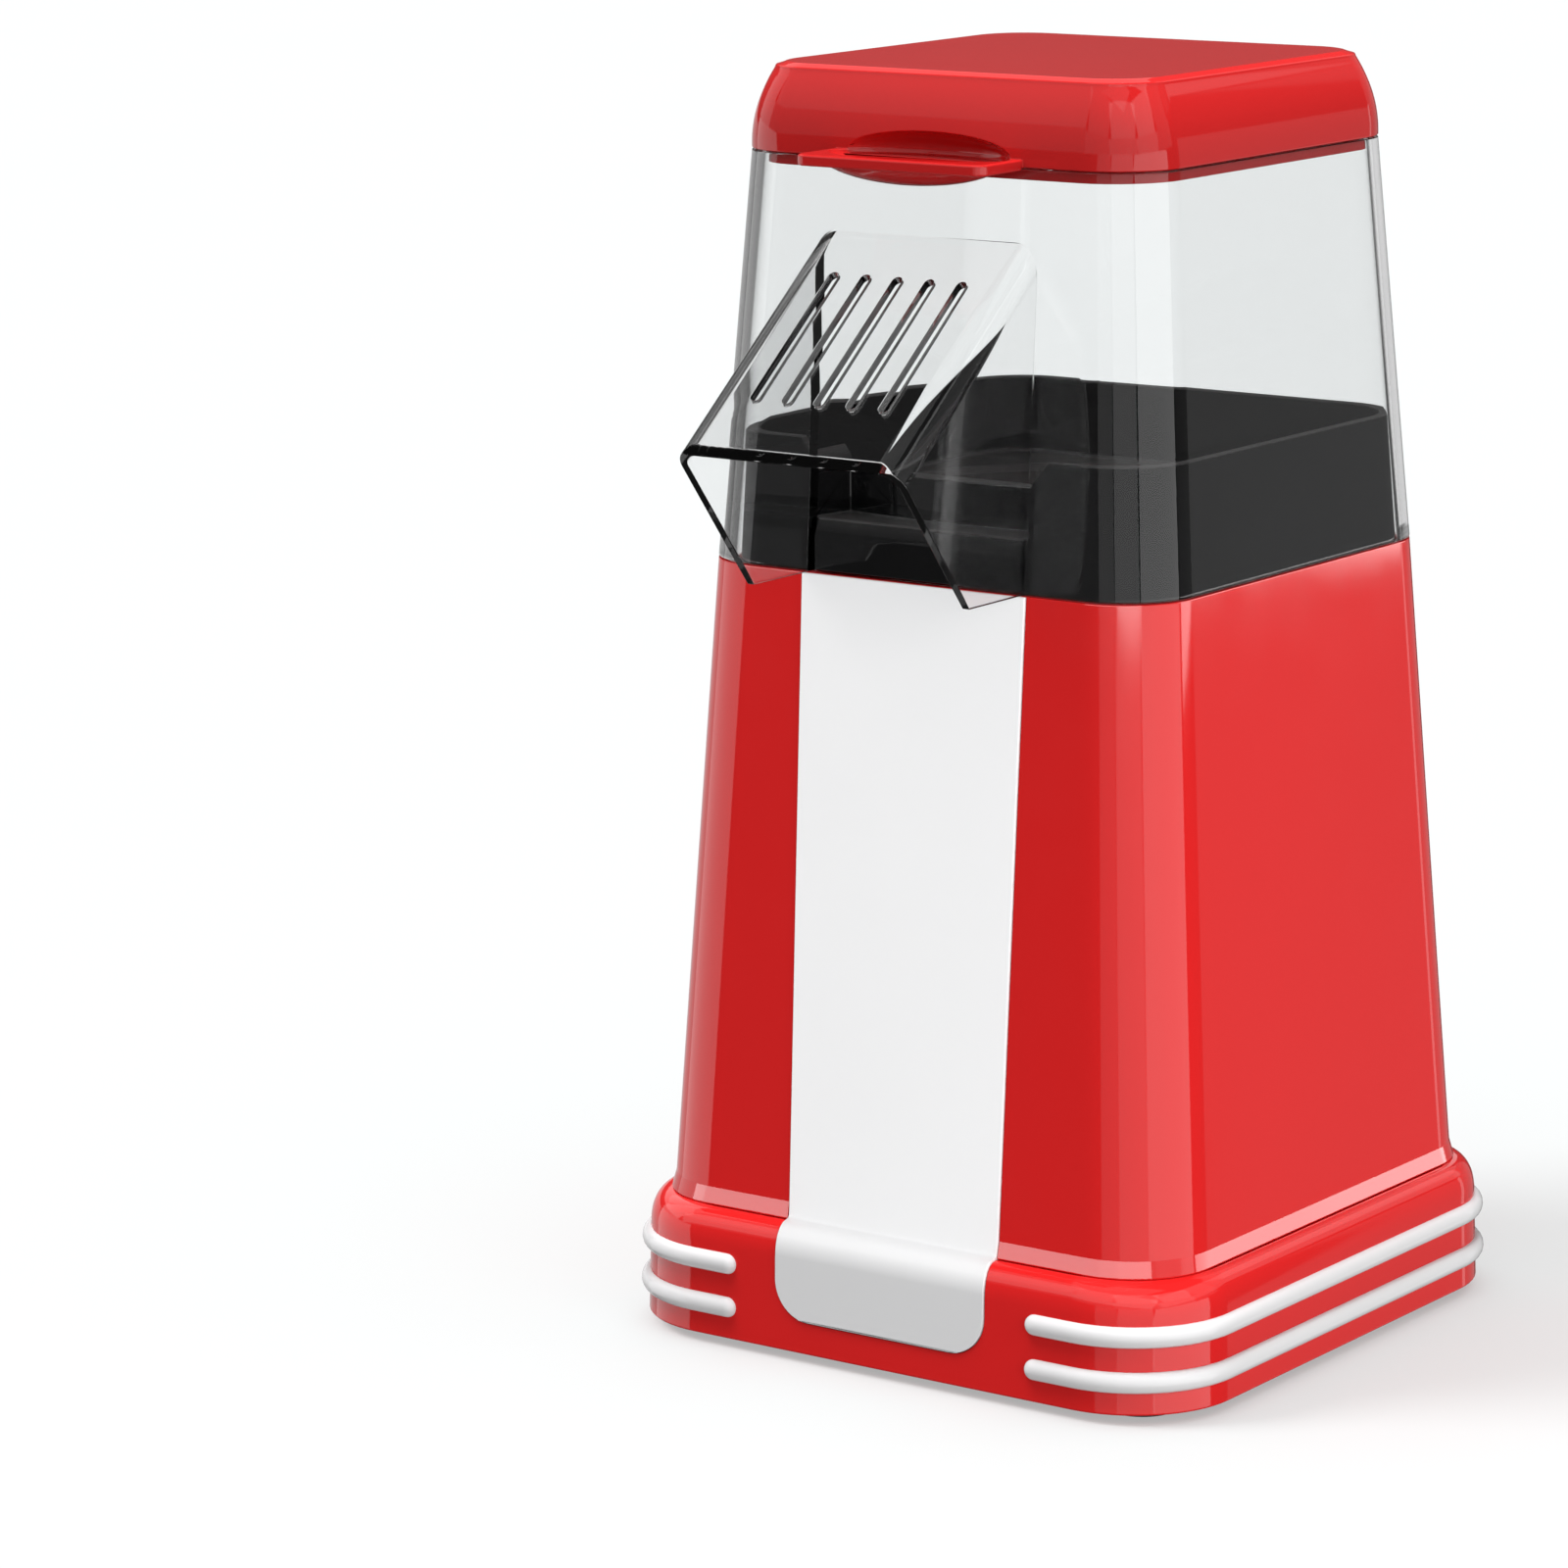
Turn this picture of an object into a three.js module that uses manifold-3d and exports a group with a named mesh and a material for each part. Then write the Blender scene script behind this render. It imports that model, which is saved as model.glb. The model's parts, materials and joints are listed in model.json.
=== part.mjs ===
// Retro hot-air popcorn maker: red tapered tower on a plinth, black collar, clear cover with a spout,
// and a red lid. Inside: popping chamber, heater, fan, motor and wiring. Millimetres, +Z up, front is -Y.
import * as THREE from 'three';
import { mergeVertices } from 'three/addons/utils/BufferGeometryUtils.js';
import Module from 'manifold-3d';

const wasm = await Module();
wasm.setup();

// ---------- driving dimensions ----------
const GAP = 0.3; // running gap between neighbouring pieces
const TOP_Z = 300; // top of the lid
const BASE_BOTTOM_Z = 2.6; // underside of the plinth, above the feet
const DECK_Z = 32.7; // top of the plinth, where the tower stands
const SEAM_Z = 185; // joint between tower and clear cover
const NECK_Z = 280; // joint between clear cover and lid
const PLINTH_WALL_TOP_Z = 23.5; // where the plinth's wall turns into its shoulder
const BASE_HALF = 79.2; // half widths of the square plan at each level
const PLINTH_LEAN = 0.5; // how far the plinth's wall leans in
const SHOULDER_HALF = 73.8; // inner edge of the plinth's shoulder
const DECK_HALF = 73;
const SEAM_HALF = 63.65;
const NECK_HALF = 56.9;
const BASE_CORNER = 0.325; // corner radius as a share of the half width
const TOWER_CORNER = 0.28;
const WALL = 2.5; // moulded housing wall
const CLEAR_WALL = 2; // clear cover wall
const PLATE_BOTTOM_Z = 3; // base plate
const PLATE_TOP_Z = 5.4;
const BASE_BOSS = { x: 40, y: 64, radius: 4.5, top: 100 }; // screw bosses of the base plate
const COLLAR_BOSS = 51; // X and Y of the collar's screws
const LEDGE_Z = [171, 176.8]; // ledges in the tower's corners under the collar
const STRIP_HALF_TOP = 30.8; // white front strip
const STRIP_HALF_FOOT = 29.3;
const STRIP_END_Z = 10.4;
const STRIP_CORNER = 9.5;
const STRIP_PROUD = 0.5;
const STRIP_DEPTH = 1.2;
const TRIM_Z = [20.9, 10.4]; // centres of the two white ribs
const TRIM_HALF_HEIGHT = 2.45;
const TRIM_PROUD = 2;
const TRIM_END_X = 40.8;
const SPOUT_HALF = 30.5; // clear spout
const SPOUT_CORNER = 6;
const SPOUT_LIP = { y: -111.8, z: 221.2 };
const SPOUT_TIP = { y: -85.5, z: SEAM_Z + GAP };
const SPOUT_RISE = 0.787; // slope of the spout's roof
const SLOT_PITCH = 8.7;
const SLOT_HALF_WIDTH = 1.25;
const COLLAR_TOP_Z = 215; // black collar
const COLLAR_BOTTOM_Z = 177.6;
const COLLAR_DECK_Z = 196; // floor of the basin
const CHUTE_HALF = 29.3;
const CHUTE_BACK_Y = -46.5;
const CHUTE_BOW = 3.5; // how far the chute's back wall bows forwards
const CHUTE_SILL_Z = 207;
const CHUTE_FLOOR_Z = 197;
const CHUTE_EDGE = { top: 197.6, low: 193.6, run: 2.5 }; // the front wall's top slopes outwards
const LID_SHOULDER_Z = 298.4; // lid
const LID_ROUNDING = 5.6; // how far the lid leans in up to its shoulder
const SKIRT_BOTTOM_Z = 277.2;
const FINGER_PLATE = { half: 25.6, depth: 11, middleY: -62.5, bottom: 279.4, top: 282, corner: 3 };
const BORE_RADIUS = 42; // popping chamber
const CHAMBER_BOTTOM_Z = 112;
const FLANGE_RADIUS = 56;
const FLANGE_HOLE_RADIUS = 52.3;
const DUCT_RADIUS = 46.8; // heater sleeve and fan housing, inner wall
const DUCT_JOINT_Z = 96;
const FAN_FLOOR_Z = 56;
const FAN_SHELF_Z = 80.5; // step in the fan housing that carries the mica plates
const IMPELLER_RADIUS = 38;
const IMPELLER_Z = 62;
const BLADE_COUNT = 10;
const MOTOR_RADIUS = 13.8;
const MOTOR_TOP_Z = 53.2;
const MOTOR_BOTTOM_Z = 17.3;
const MOTOR_SCREW_X = 8;
const TAB_X = 8; // motor terminals, soldered through the rectifier board
const BRACKET_SCREW_X = 30;
const SHAFT_RADIUS = 1.15;
const CUT_OUT_Z = 125; // thermostat and thermal fuse, against the sleeve
const SWITCH_Z = 50; // rocker switch on the rear wall
const SWITCH_TILT = 8; // degrees
const GLAND_Z = 15.6; // cord gland on the rear of the plinth
const GLAND_RADIUS = 5.2;
const FOOT_PLACE = 60;
const FOOT_RADIUS = 9.5;
const SCREW_RADIUS = 1.3;
const HEAD_RADIUS = 2.8;
const HEAD_HEIGHT = 1.6;

// ---------- geometry helpers ----------
const lerp = THREE.MathUtils.lerp;

// A closed three.js geometry as a manifold-3d solid, turned to face outwards.
function solid(geometry) {
  const plain = geometry.index ? geometry.toNonIndexed() : geometry.clone();
  plain.deleteAttribute('normal');
  plain.deleteAttribute('uv');
  const merged = mergeVertices(plain, 1e-3);
  const faces = [];
  const index = merged.index.array;
  for (let i = 0; i < index.length; i += 3) {
    const [a, b, c] = [index[i], index[i + 1], index[i + 2]];
    if (a !== b && b !== c && c !== a) faces.push([a, b, c]);
  }
  const build = (list) =>
    new wasm.Manifold(
      new wasm.Mesh({
        numProp: 3,
        vertProperties: merged.attributes.position.array,
        triVerts: new Uint32Array(list.flat()),
      }),
    );
  const made = build(faces);
  return made.volume() < 0 ? build(faces.map(([a, b, c]) => [a, c, b])) : made;
}

const join = (first, ...rest) => rest.reduce((sum, next) => sum.add(next), first);
const cut = (first, ...rest) => rest.reduce((sum, next) => sum.subtract(next), first);

function box([x0, x1], [y0, y1], [z0, z1]) {
  const geometry = new THREE.BoxGeometry(x1 - x0, y1 - y0, z1 - z0);
  return solid(geometry.translate((x0 + x1) / 2, (y0 + y1) / 2, (z0 + z1) / 2));
}

// An upright cylinder from z0 to z1.
function rod(radius, [z0, z1], x = 0, y = 0, sides = 20) {
  const geometry = new THREE.CylinderGeometry(radius, radius, z1 - z0, sides).rotateX(Math.PI / 2);
  return solid(geometry.translate(x, y, (z0 + z1) / 2));
}

// A body turned about Z, from [radius, z] pairs; the outline is closed here.
function turned(outline, sides = 28) {
  const points = outline.map(([r, z]) => new THREE.Vector2(r, z));
  if (outline[0][0] > 0 || outline.at(-1)[0] > 0) points.push(points[0].clone());
  return solid(new THREE.LatheGeometry(points, sides).rotateX(Math.PI / 2));
}

function polygon(points) {
  return new THREE.Shape(points.map(([x, y]) => new THREE.Vector2(x, y)));
}

function roundedRectangle(halfX, halfY, radius, centreX = 0, centreY = 0) {
  const shape = new THREE.Shape();
  const corners = [
    [halfX - radius, -halfY + radius, -Math.PI / 2],
    [halfX - radius, halfY - radius, 0],
    [-halfX + radius, halfY - radius, Math.PI / 2],
    [-halfX + radius, -halfY + radius, Math.PI],
  ];
  for (const [x, y, start] of corners) {
    shape.absarc(centreX + x, centreY + y, radius, start, start + Math.PI / 2, false);
  }
  return shape;
}

function extruded(shape, [from, to], curveSegments = 8) {
  const geometry = new THREE.ExtrudeGeometry(shape, {
    depth: to - from,
    bevelEnabled: false,
    curveSegments,
  });
  return geometry.translate(0, 0, from);
}

// Shapes drawn in plan (X, Y) and pushed up, drawn in side view (Y, Z) and pushed along X,
// and drawn in front view (X, Z) and pushed along Y.
const plan = (shape, zRange, curve) => solid(extruded(shape, zRange, curve));
const sideView = (shape, xRange, curve) =>
  solid(extruded(shape, xRange, curve).rotateX(Math.PI / 2).rotateZ(Math.PI / 2));
const frontView = (shape, [y0, y1], curve) =>
  solid(extruded(shape, [-y1, -y0], curve).rotateX(Math.PI / 2));

// A solid of rounded-square plan whose half width follows a profile of [half, z] pairs.
function tower(profile, cornerShare = TOWER_CORNER, cornerSteps = 5) {
  const levels = profile.length - 1;
  const geometry = new THREE.ExtrudeGeometry(roundedRectangle(1, 1, cornerShare), {
    depth: levels,
    steps: levels,
    bevelEnabled: false,
    curveSegments: cornerSteps,
  });
  const place = geometry.attributes.position;
  for (let i = 0; i < place.count; i++) {
    const [half, z] = profile[Math.round(place.getZ(i))];
    place.setXYZ(i, place.getX(i) * half, place.getY(i) * half, z);
  }
  return solid(geometry);
}

// Outer half width of the tower and of the clear cover at a height.
function halfAt(z) {
  if (z < SEAM_Z) return lerp(DECK_HALF, SEAM_HALF, (z - DECK_Z) / (SEAM_Z - DECK_Z));
  return lerp(SEAM_HALF, NECK_HALF, (z - SEAM_Z) / (NECK_Z - SEAM_Z));
}

const inset = (profile, by) => profile.map(([half, z]) => [half - by, z]);

function tube(points, radius, steps, sides = 6) {
  const path = new THREE.CatmullRomCurve3(points.map((p) => new THREE.Vector3(...p)));
  const section = new THREE.Shape().absarc(0, 0, radius, 0, 2 * Math.PI, false);
  return solid(
    new THREE.ExtrudeGeometry(section, { steps, curveSegments: sides, extrudePath: path }),
  );
}

// A pan-head screw with its head at the lower end, driven upwards.
function screw(x, y, headZ, length) {
  const outline = [
    [0, 0],
    [HEAD_RADIUS - 0.4, 0],
    [HEAD_RADIUS, 0.5],
    [HEAD_RADIUS, HEAD_HEIGHT],
    [SCREW_RADIUS, HEAD_HEIGHT],
    [SCREW_RADIUS, HEAD_HEIGHT + length],
    [0, HEAD_HEIGHT + length],
  ];
  return turned(outline, 8).translate([x, y, headZ]);
}

const polar = (radius, turn) => [
  radius * Math.cos(2 * Math.PI * turn),
  radius * Math.sin(2 * Math.PI * turn),
];

const corners = [
  [-1, -1],
  [1, -1],
  [1, 1],
  [-1, 1],
];

// ---------- the machine ----------
const machine = new THREE.Group();

const finishes = {
  red: { color: 0xcf2027, roughness: 0.16, metalness: 0 },
  white: { color: 0xf2f2f2, roughness: 0.25, metalness: 0 },
  black: { color: 0x191919, roughness: 0.2, metalness: 0 },
  clear: { color: 0xe9eef0, roughness: 0.05, metalness: 0, transparent: true, opacity: 0.35 },
  rubber: { color: 0x1b1b1b, roughness: 0.8, metalness: 0 },
  aluminium: { color: 0xc3c6c9, roughness: 0.3, metalness: 1 },
  steel: { color: 0xa9acb0, roughness: 0.35, metalness: 1 },
  nichrome: { color: 0x84807a, roughness: 0.45, metalness: 1 },
  mica: { color: 0xb9ab8e, roughness: 0.6, metalness: 0 },
  resin: { color: 0x3a3632, roughness: 0.55, metalness: 0 },
  nylon: { color: 0xe6e0cf, roughness: 0.5, metalness: 0 },
  board: { color: 0x2f6b3f, roughness: 0.5, metalness: 0 },
};

function add(name, made, finish, parent = machine) {
  const { vertProperties, triVerts } = made.getMesh();
  const geometry = new THREE.BufferGeometry();
  geometry.setAttribute('position', new THREE.Float32BufferAttribute(vertProperties, 3));
  geometry.setIndex([...triVerts]);
  geometry.computeVertexNormals();
  const mesh = new THREE.Mesh(geometry, new THREE.MeshStandardMaterial(finishes[finish]));
  mesh.name = name;
  parent.add(mesh);
  return mesh;
}

// ---------- plinth, tower and trim ----------
const plinthProfile = [
  [BASE_HALF, BASE_BOTTOM_Z],
  [BASE_HALF - PLINTH_LEAN, PLINTH_WALL_TOP_Z],
  [BASE_HALF - 0.9, 28.2],
  [BASE_HALF - 1.9, 31],
  [BASE_HALF - 3.5, 32.3],
  [SHOULDER_HALF, DECK_Z],
];
const towerProfile = [
  [halfAt(DECK_Z + GAP), DECK_Z + GAP],
  [halfAt(SEAM_Z - GAP / 2), SEAM_Z - GAP / 2],
];

// The strip's outline in front view, reaching by `margin` beyond the strip itself.
function stripOutline(margin) {
  const foot = STRIP_HALF_FOOT + margin;
  const top = STRIP_HALF_TOP + margin;
  const radius = STRIP_CORNER + margin;
  const low = STRIP_END_Z - margin;
  const shape = new THREE.Shape();
  shape.moveTo(-top, SEAM_Z + 1);
  shape.lineTo(-foot, DECK_Z);
  shape.absarc(-foot + radius, low + radius, radius, Math.PI, 1.5 * Math.PI, false);
  shape.absarc(foot - radius, low + radius, radius, 1.5 * Math.PI, 2 * Math.PI, false);
  shape.lineTo(foot, DECK_Z);
  shape.lineTo(top, SEAM_Z + 1);
  return shape;
}

// Plinth and tower together as one skin, pushed out or in at right angles by `offset`.
function skin(offset) {
  const profile = [
    ...plinthProfile.slice(0, -1),
    [SHOULDER_HALF, DECK_Z + 0.2],
    [halfAt(DECK_Z + 2), DECK_Z + 2],
    [halfAt(SEAM_Z - GAP), SEAM_Z - GAP],
  ];
  const last = profile.length - 1;
  const pushed = profile.map(([half, z], i) => {
    const [lowHalf, lowZ] = profile[Math.max(i - 1, 0)];
    const [highHalf, highZ] = profile[Math.min(i + 1, last)];
    const length = Math.hypot(highHalf - lowHalf, highZ - lowZ);
    const outwards = (highZ - lowZ) / length;
    const upwards = (lowHalf - highHalf) / length;
    return [half + offset * outwards, i === last ? z : z + offset * upwards];
  });
  return tower(pushed, BASE_CORNER, 3);
}

const STRIP_FRONT = [-BASE_HALF - 5, -40];
const stripPocket = cut(
  frontView(stripOutline(GAP), STRIP_FRONT),
  skin(-STRIP_DEPTH - GAP),
);

function basePlinth() {
  const hollow = tower(
    [
      [BASE_HALF - WALL, BASE_BOTTOM_Z - 1],
      [BASE_HALF - PLINTH_LEAN - WALL, PLINTH_WALL_TOP_Z],
      [SHOULDER_HALF + 2.8, DECK_Z - 3],
    ],
    BASE_CORNER,
  );
  const wellHalf = DECK_HALF - 3.2;
  const well = tower([
    [wellHalf, DECK_Z - 11],
    [wellHalf, DECK_Z + 1],
  ]);
  const outer = tower(plinthProfile, BASE_CORNER);
  const glandHole = rod(GLAND_RADIUS + 0.4, [-90, -70], 0, GLAND_Z, 20).rotate([90, 0, 0]);
  return cut(outer, hollow, well, stripPocket, glandHole);
}

function towerHousing() {
  const hollow = tower([
    [DECK_HALF - WALL, DECK_Z - 1],
    [SEAM_HALF - WALL, SEAM_Z + 1],
  ]);
  // Bosses and ledges stop just inside the leaning wall's outer face.
  const inside = tower([
    [DECK_HALF - 1, 0],
    [DECK_HALF - 1, DECK_Z],
    [SEAM_HALF - 1, SEAM_Z],
  ]);
  const bosses = [];
  const holes = [];
  for (const [sx, sy] of corners) {
    const { x, y, radius, top } = BASE_BOSS;
    bosses.push(rod(radius, [PLATE_TOP_Z + GAP, top], sx * x, sy * y, 16));
    holes.push(rod(SCREW_RADIUS + GAP, [0, 24], sx * x, sy * y, 10));
    bosses.push(rod(7, LEDGE_Z, sx * (COLLAR_BOSS + 2), sy * (COLLAR_BOSS + 2), 16));
    holes.push(rod(SCREW_RADIUS + GAP, [170, 178], sx * COLLAR_BOSS, sy * COLLAR_BOSS, 10));
  }
  const trimmed = bosses.map((boss) => boss.intersect(inside));
  const shell = cut(tower(towerProfile), hollow, stripPocket);
  const opening = switchPlace(box([-6.8, 6.8], [-20, 20], [-10, 10]));
  return cut(join(shell, ...trimmed), ...holes, opening);
}

function frontStrip() {
  const sheet = cut(skin(STRIP_PROUD), skin(-STRIP_DEPTH));
  return sheet.intersect(frontView(stripOutline(0), STRIP_FRONT));
}

// Outer half width of the plinth's upright wall, which leans in a little.
const wallHalfAt = (z) =>
  BASE_HALF - (PLINTH_LEAN * (z - BASE_BOTTOM_Z)) / (PLINTH_WALL_TOP_Z - BASE_BOTTOM_Z);

// One white rib around a side of the plinth: a ring of half-round section, cut to one side.
function trimRib(centreZ, side) {
  const back = wallHalfAt(centreZ) + GAP;
  const steps = 4;
  const profile = [];
  for (let i = 0; i <= steps; i++) {
    const angle = Math.PI * (i / steps - 0.5);
    const bulge = (TRIM_PROUD - GAP) * Math.cos(angle);
    profile.push([back + Math.max(bulge, 0.02), centreZ + TRIM_HALF_HEIGHT * Math.sin(angle)]);
  }
  const reach = BASE_HALF + 10;
  const band = cut(
    tower(profile, BASE_CORNER),
    tower(
      [
        [back, centreZ - 5],
        [back, centreZ + 5],
      ],
      BASE_CORNER,
    ),
  );
  const xRange = side < 0 ? [-reach, -TRIM_END_X] : [TRIM_END_X, reach];
  return band.intersect(box(xRange, [-reach, reach], [centreZ - 6, centreZ + 6]));
}

function basePlate() {
  const half = BASE_HALF - WALL - GAP - 0.1;
  let plate = tower(
    [
      [half, PLATE_BOTTOM_Z],
      [half, PLATE_TOP_Z],
    ],
    BASE_CORNER,
  );
  // The air intake: rows of slots in a circle, either side of a spine.
  const [grilleRadius, pitch, slotHalf, spineHalf] = [38, 8, 1.7, 2.5];
  for (let row = -4; row <= 4; row++) {
    const y = row * pitch;
    const reach = Math.sqrt(grilleRadius ** 2 - y ** 2);
    plate = cut(plate, box([-reach, -spineHalf], [y - slotHalf, y + slotHalf], [0, 10]));
    plate = cut(plate, box([spineHalf, reach], [y - slotHalf, y + slotHalf], [0, 10]));
  }
  for (const [sx, sy] of corners) {
    const [x, y] = [sx * BASE_BOSS.x, sy * BASE_BOSS.y];
    plate = cut(plate, rod(SCREW_RADIUS + GAP, [0, 10], x, y, 12));
    plate = cut(plate, rod(HEAD_RADIUS + GAP, [0, PLATE_BOTTOM_Z + HEAD_HEIGHT * 0.8], x, y, 16));
    plate = cut(plate, rod(2.5, [0, 10], sx * FOOT_PLACE, sy * FOOT_PLACE, 12));
  }
  return plate;
}

function rubberFoot(x, y) {
  const z = PLATE_BOTTOM_Z - GAP;
  const outline = [
    [0, 0],
    [FOOT_RADIUS - 0.7, 0],
    [FOOT_RADIUS, 0.8],
    [FOOT_RADIUS, z],
    [2.2, z],
    [2.2, PLATE_TOP_Z + GAP],
    [3, PLATE_TOP_Z + GAP + 0.1],
    [1.4, PLATE_TOP_Z + 2.6],
    [0, PLATE_TOP_Z + 2.6],
  ];
  return turned(outline, 12).translate([x, y, 0]);
}

add('base_plinth', basePlinth(), 'red');
add('tower_housing', towerHousing(), 'red');
add('front_strip', frontStrip(), 'white');
TRIM_Z.forEach((z, i) => {
  const level = i === 0 ? 'upper' : 'lower';
  add(`trim_${level}_left`, trimRib(z, -1), 'white');
  add(`trim_${level}_right`, trimRib(z, 1), 'white');
});
add('base_plate', basePlate(), 'black');
corners.forEach(([sx, sy], i) => {
  add(`foot_${i + 1}`, rubberFoot(sx * FOOT_PLACE, sy * FOOT_PLACE), 'rubber');
  const headZ = PLATE_BOTTOM_Z - HEAD_HEIGHT * 0.2 - GAP;
  add(`base_screw_${i + 1}`, screw(sx * BASE_BOSS.x, sy * BASE_BOSS.y, headZ, 16), 'steel');
});

// ---------- black collar ----------
const flangeHoles = [0, 1, 2].map((i) => polar(FLANGE_HOLE_RADIUS, i / 3 + 0.25));

function poppingCollar() {
  const [bottom, deck, top] = [COLLAR_BOTTOM_Z, COLLAR_DECK_Z, COLLAR_TOP_Z];
  const halfLow = SEAM_HALF - WALL - 0.1;
  const halfHigh = halfAt(top) - CLEAR_WALL - GAP;
  const level = (z, by = 0) => [lerp(halfLow, halfHigh, (z - bottom) / (top - bottom)) - by, z];
  const bayX = [-CHUTE_HALF - WALL, CHUTE_HALF + WALL];
  const bayY = [-80, CHUTE_BACK_Y + 2.2];

  const outer = tower([level(bottom), level(top)]);
  const basin = cut(tower([level(deck, WALL), level(top + 1, WALL)]), box(bayX, bayY, [150, 250]));
  const funnel = cut(
    turned([
      [0, bottom - 1],
      [BORE_RADIUS, bottom - 1],
      [BORE_RADIUS, bottom + 6.4],
      [BORE_RADIUS + 14, deck + 0.5],
      [0, deck + 0.5],
    ]),
    box(bayX, bayY, [SEAM_Z, 250]),
  );
  const funnelSkin = turned([
    [0, 150],
    [BORE_RADIUS + WALL, 150],
    [BORE_RADIUS + WALL, bottom + 5],
    [BORE_RADIUS + 20, deck + 1.8],
    [0, deck + 1.8],
  ]);
  const pocket = cut(tower([level(bottom - 1, WALL), level(deck - WALL, WALL)]), funnelSkin);
  const lipX = CHUTE_HALF - 1.4;
  const lip = box([-lipX, lipX], [-SEAM_HALF + 0.4, -58], [SEAM_Z + GAP, CHUTE_EDGE.top + 0.4]);
  const shell = cut(join(outer, lip), basin, funnel, pocket);

  const bosses = [];
  const holes = [];
  for (const [sx, sy] of corners) {
    bosses.push(rod(4, [bottom, deck - 1], sx * COLLAR_BOSS, sy * COLLAR_BOSS, 16));
    holes.push(rod(SCREW_RADIUS + GAP, [170, 188], sx * COLLAR_BOSS, sy * COLLAR_BOSS, 10));
  }
  for (const [x, y] of flangeHoles) {
    bosses.push(rod(3.6, [bottom, 189], x, y, 14));
    holes.push(rod(SCREW_RADIUS + GAP, [170, 186], x, y, 10));
  }
  return cut(join(shell, ...bosses), chuteBay(), chuteSill(), ...holes);
}

// The chute: an open bay in the collar's front, over a low wall whose top edge slopes outwards.
function chuteBay() {
  const bay = new THREE.Shape();
  bay.moveTo(-CHUTE_HALF, -75);
  bay.lineTo(CHUTE_HALF, -75);
  bay.lineTo(CHUTE_HALF, CHUTE_BACK_Y);
  bay.quadraticCurveTo(0, CHUTE_BACK_Y - 2 * CHUTE_BOW, -CHUTE_HALF, CHUTE_BACK_Y);
  const floor = sideView(
    polygon([
      [-40, 150],
      [-40, COLLAR_DECK_Z - 0.2],
      [CHUTE_BACK_Y, CHUTE_FLOOR_Z],
      [-SEAM_HALF + 0.4 + CHUTE_EDGE.run, CHUTE_EDGE.top],
      [-SEAM_HALF + 0.4, CHUTE_EDGE.low],
      [-80, CHUTE_EDGE.low],
      [-80, 150],
    ]),
    [-40, 40],
  );
  return cut(plan(bay, [180, 230]), floor);
}

// The low sill between the basin and the chute, with slanting steps up to the rim.
function chuteSill() {
  const outline = polygon([
    [-CHUTE_HALF, CHUTE_SILL_Z],
    [CHUTE_HALF, CHUTE_SILL_Z],
    [CHUTE_HALF + 0.6, CHUTE_SILL_Z + 2.4],
    [CHUTE_HALF + 5.2, COLLAR_TOP_Z + 0.5],
    [-CHUTE_HALF - 5.2, COLLAR_TOP_Z + 0.5],
    [-CHUTE_HALF - 0.6, CHUTE_SILL_Z + 2.4],
  ]);
  return frontView(outline, [-75, -40]);
}

add('popping_collar', poppingCollar(), 'black');
corners.forEach(([sx, sy], i) => {
  const made = screw(sx * COLLAR_BOSS, sy * COLLAR_BOSS, LEDGE_Z[0] - GAP - HEAD_HEIGHT, 15);
  add(`collar_screw_${i + 1}`, made, 'steel');
});

// ---------- clear cover with its spout ----------
const roofAt = (y) => SPOUT_LIP.z + (y - SPOUT_LIP.y) * SPOUT_RISE;

// An arch section (flat roof, rounded shoulders, straight cheeks) run along the roof's slope.
function spoutArch(half, radius, drop) {
  const depth = 90;
  const shape = new THREE.Shape();
  shape.moveTo(-half, -depth);
  shape.lineTo(half, -depth);
  shape.absarc(half - radius, -drop - radius, radius, 0, Math.PI / 2, false);
  shape.absarc(-half + radius, -drop - radius, radius, Math.PI / 2, Math.PI, false);
  const slope = Math.atan(SPOUT_RISE);
  const run = extruded(shape, [-95, 60], 5).rotateX(Math.PI / 2 + slope);
  return solid(run.translate(0, SPOUT_LIP.y, SPOUT_LIP.z));
}

function clearCover() {
  const bottom = SEAM_Z + GAP / 2;
  const top = NECK_Z - GAP / 2;
  const shell = tower([
    [halfAt(bottom), bottom],
    [halfAt(top), top],
  ]);
  const hollow = tower([
    [halfAt(SEAM_Z) - CLEAR_WALL + 0.07, SEAM_Z - 1],
    [halfAt(NECK_Z) - CLEAR_WALL - 0.07, NECK_Z + 1],
  ]);
  const cheeks = sideView(
    polygon([
      [-40, bottom],
      [SPOUT_TIP.y, bottom],
      [-94.4, 196.2],
      [SPOUT_LIP.y - 0.6, SPOUT_LIP.z - 2.6],
      [SPOUT_LIP.y, SPOUT_LIP.z + 1],
      [SPOUT_LIP.y, 290],
      [-40, 290],
    ]),
    [-40, 40],
  );
  const spout = spoutArch(SPOUT_HALF, SPOUT_CORNER, 0).intersect(cheeks);
  const spoutOutside = cut(spout, box([-40, 40], [-40, 100], [100, 400]));
  const mouth = spoutArch(SPOUT_HALF - CLEAR_WALL, SPOUT_CORNER - CLEAR_WALL, CLEAR_WALL);
  const slots = [];
  for (let i = -2; i <= 2; i++) slots.push(roofSlot(i * SLOT_PITCH));
  return cut(join(shell, spoutOutside), hollow, mouth, ...slots);
}

// A round-ended slot through the spout's roof.
function roofSlot(x) {
  const [yLow, yHigh] = [-99.6, -69.4];
  const slope = Math.atan(SPOUT_RISE);
  const halfLength = (yHigh - yLow) / 2 / Math.cos(slope) + SLOT_HALF_WIDTH;
  const shape = roundedRectangle(SLOT_HALF_WIDTH, halfLength, SLOT_HALF_WIDTH - 0.01);
  const middle = (yLow + yHigh) / 2;
  const geometry = extruded(shape, [-6, 6], 4).rotateX(slope);
  return solid(geometry.translate(x, middle, roofAt(middle)));
}

add('clear_cover', clearCover(), 'clear');

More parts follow.
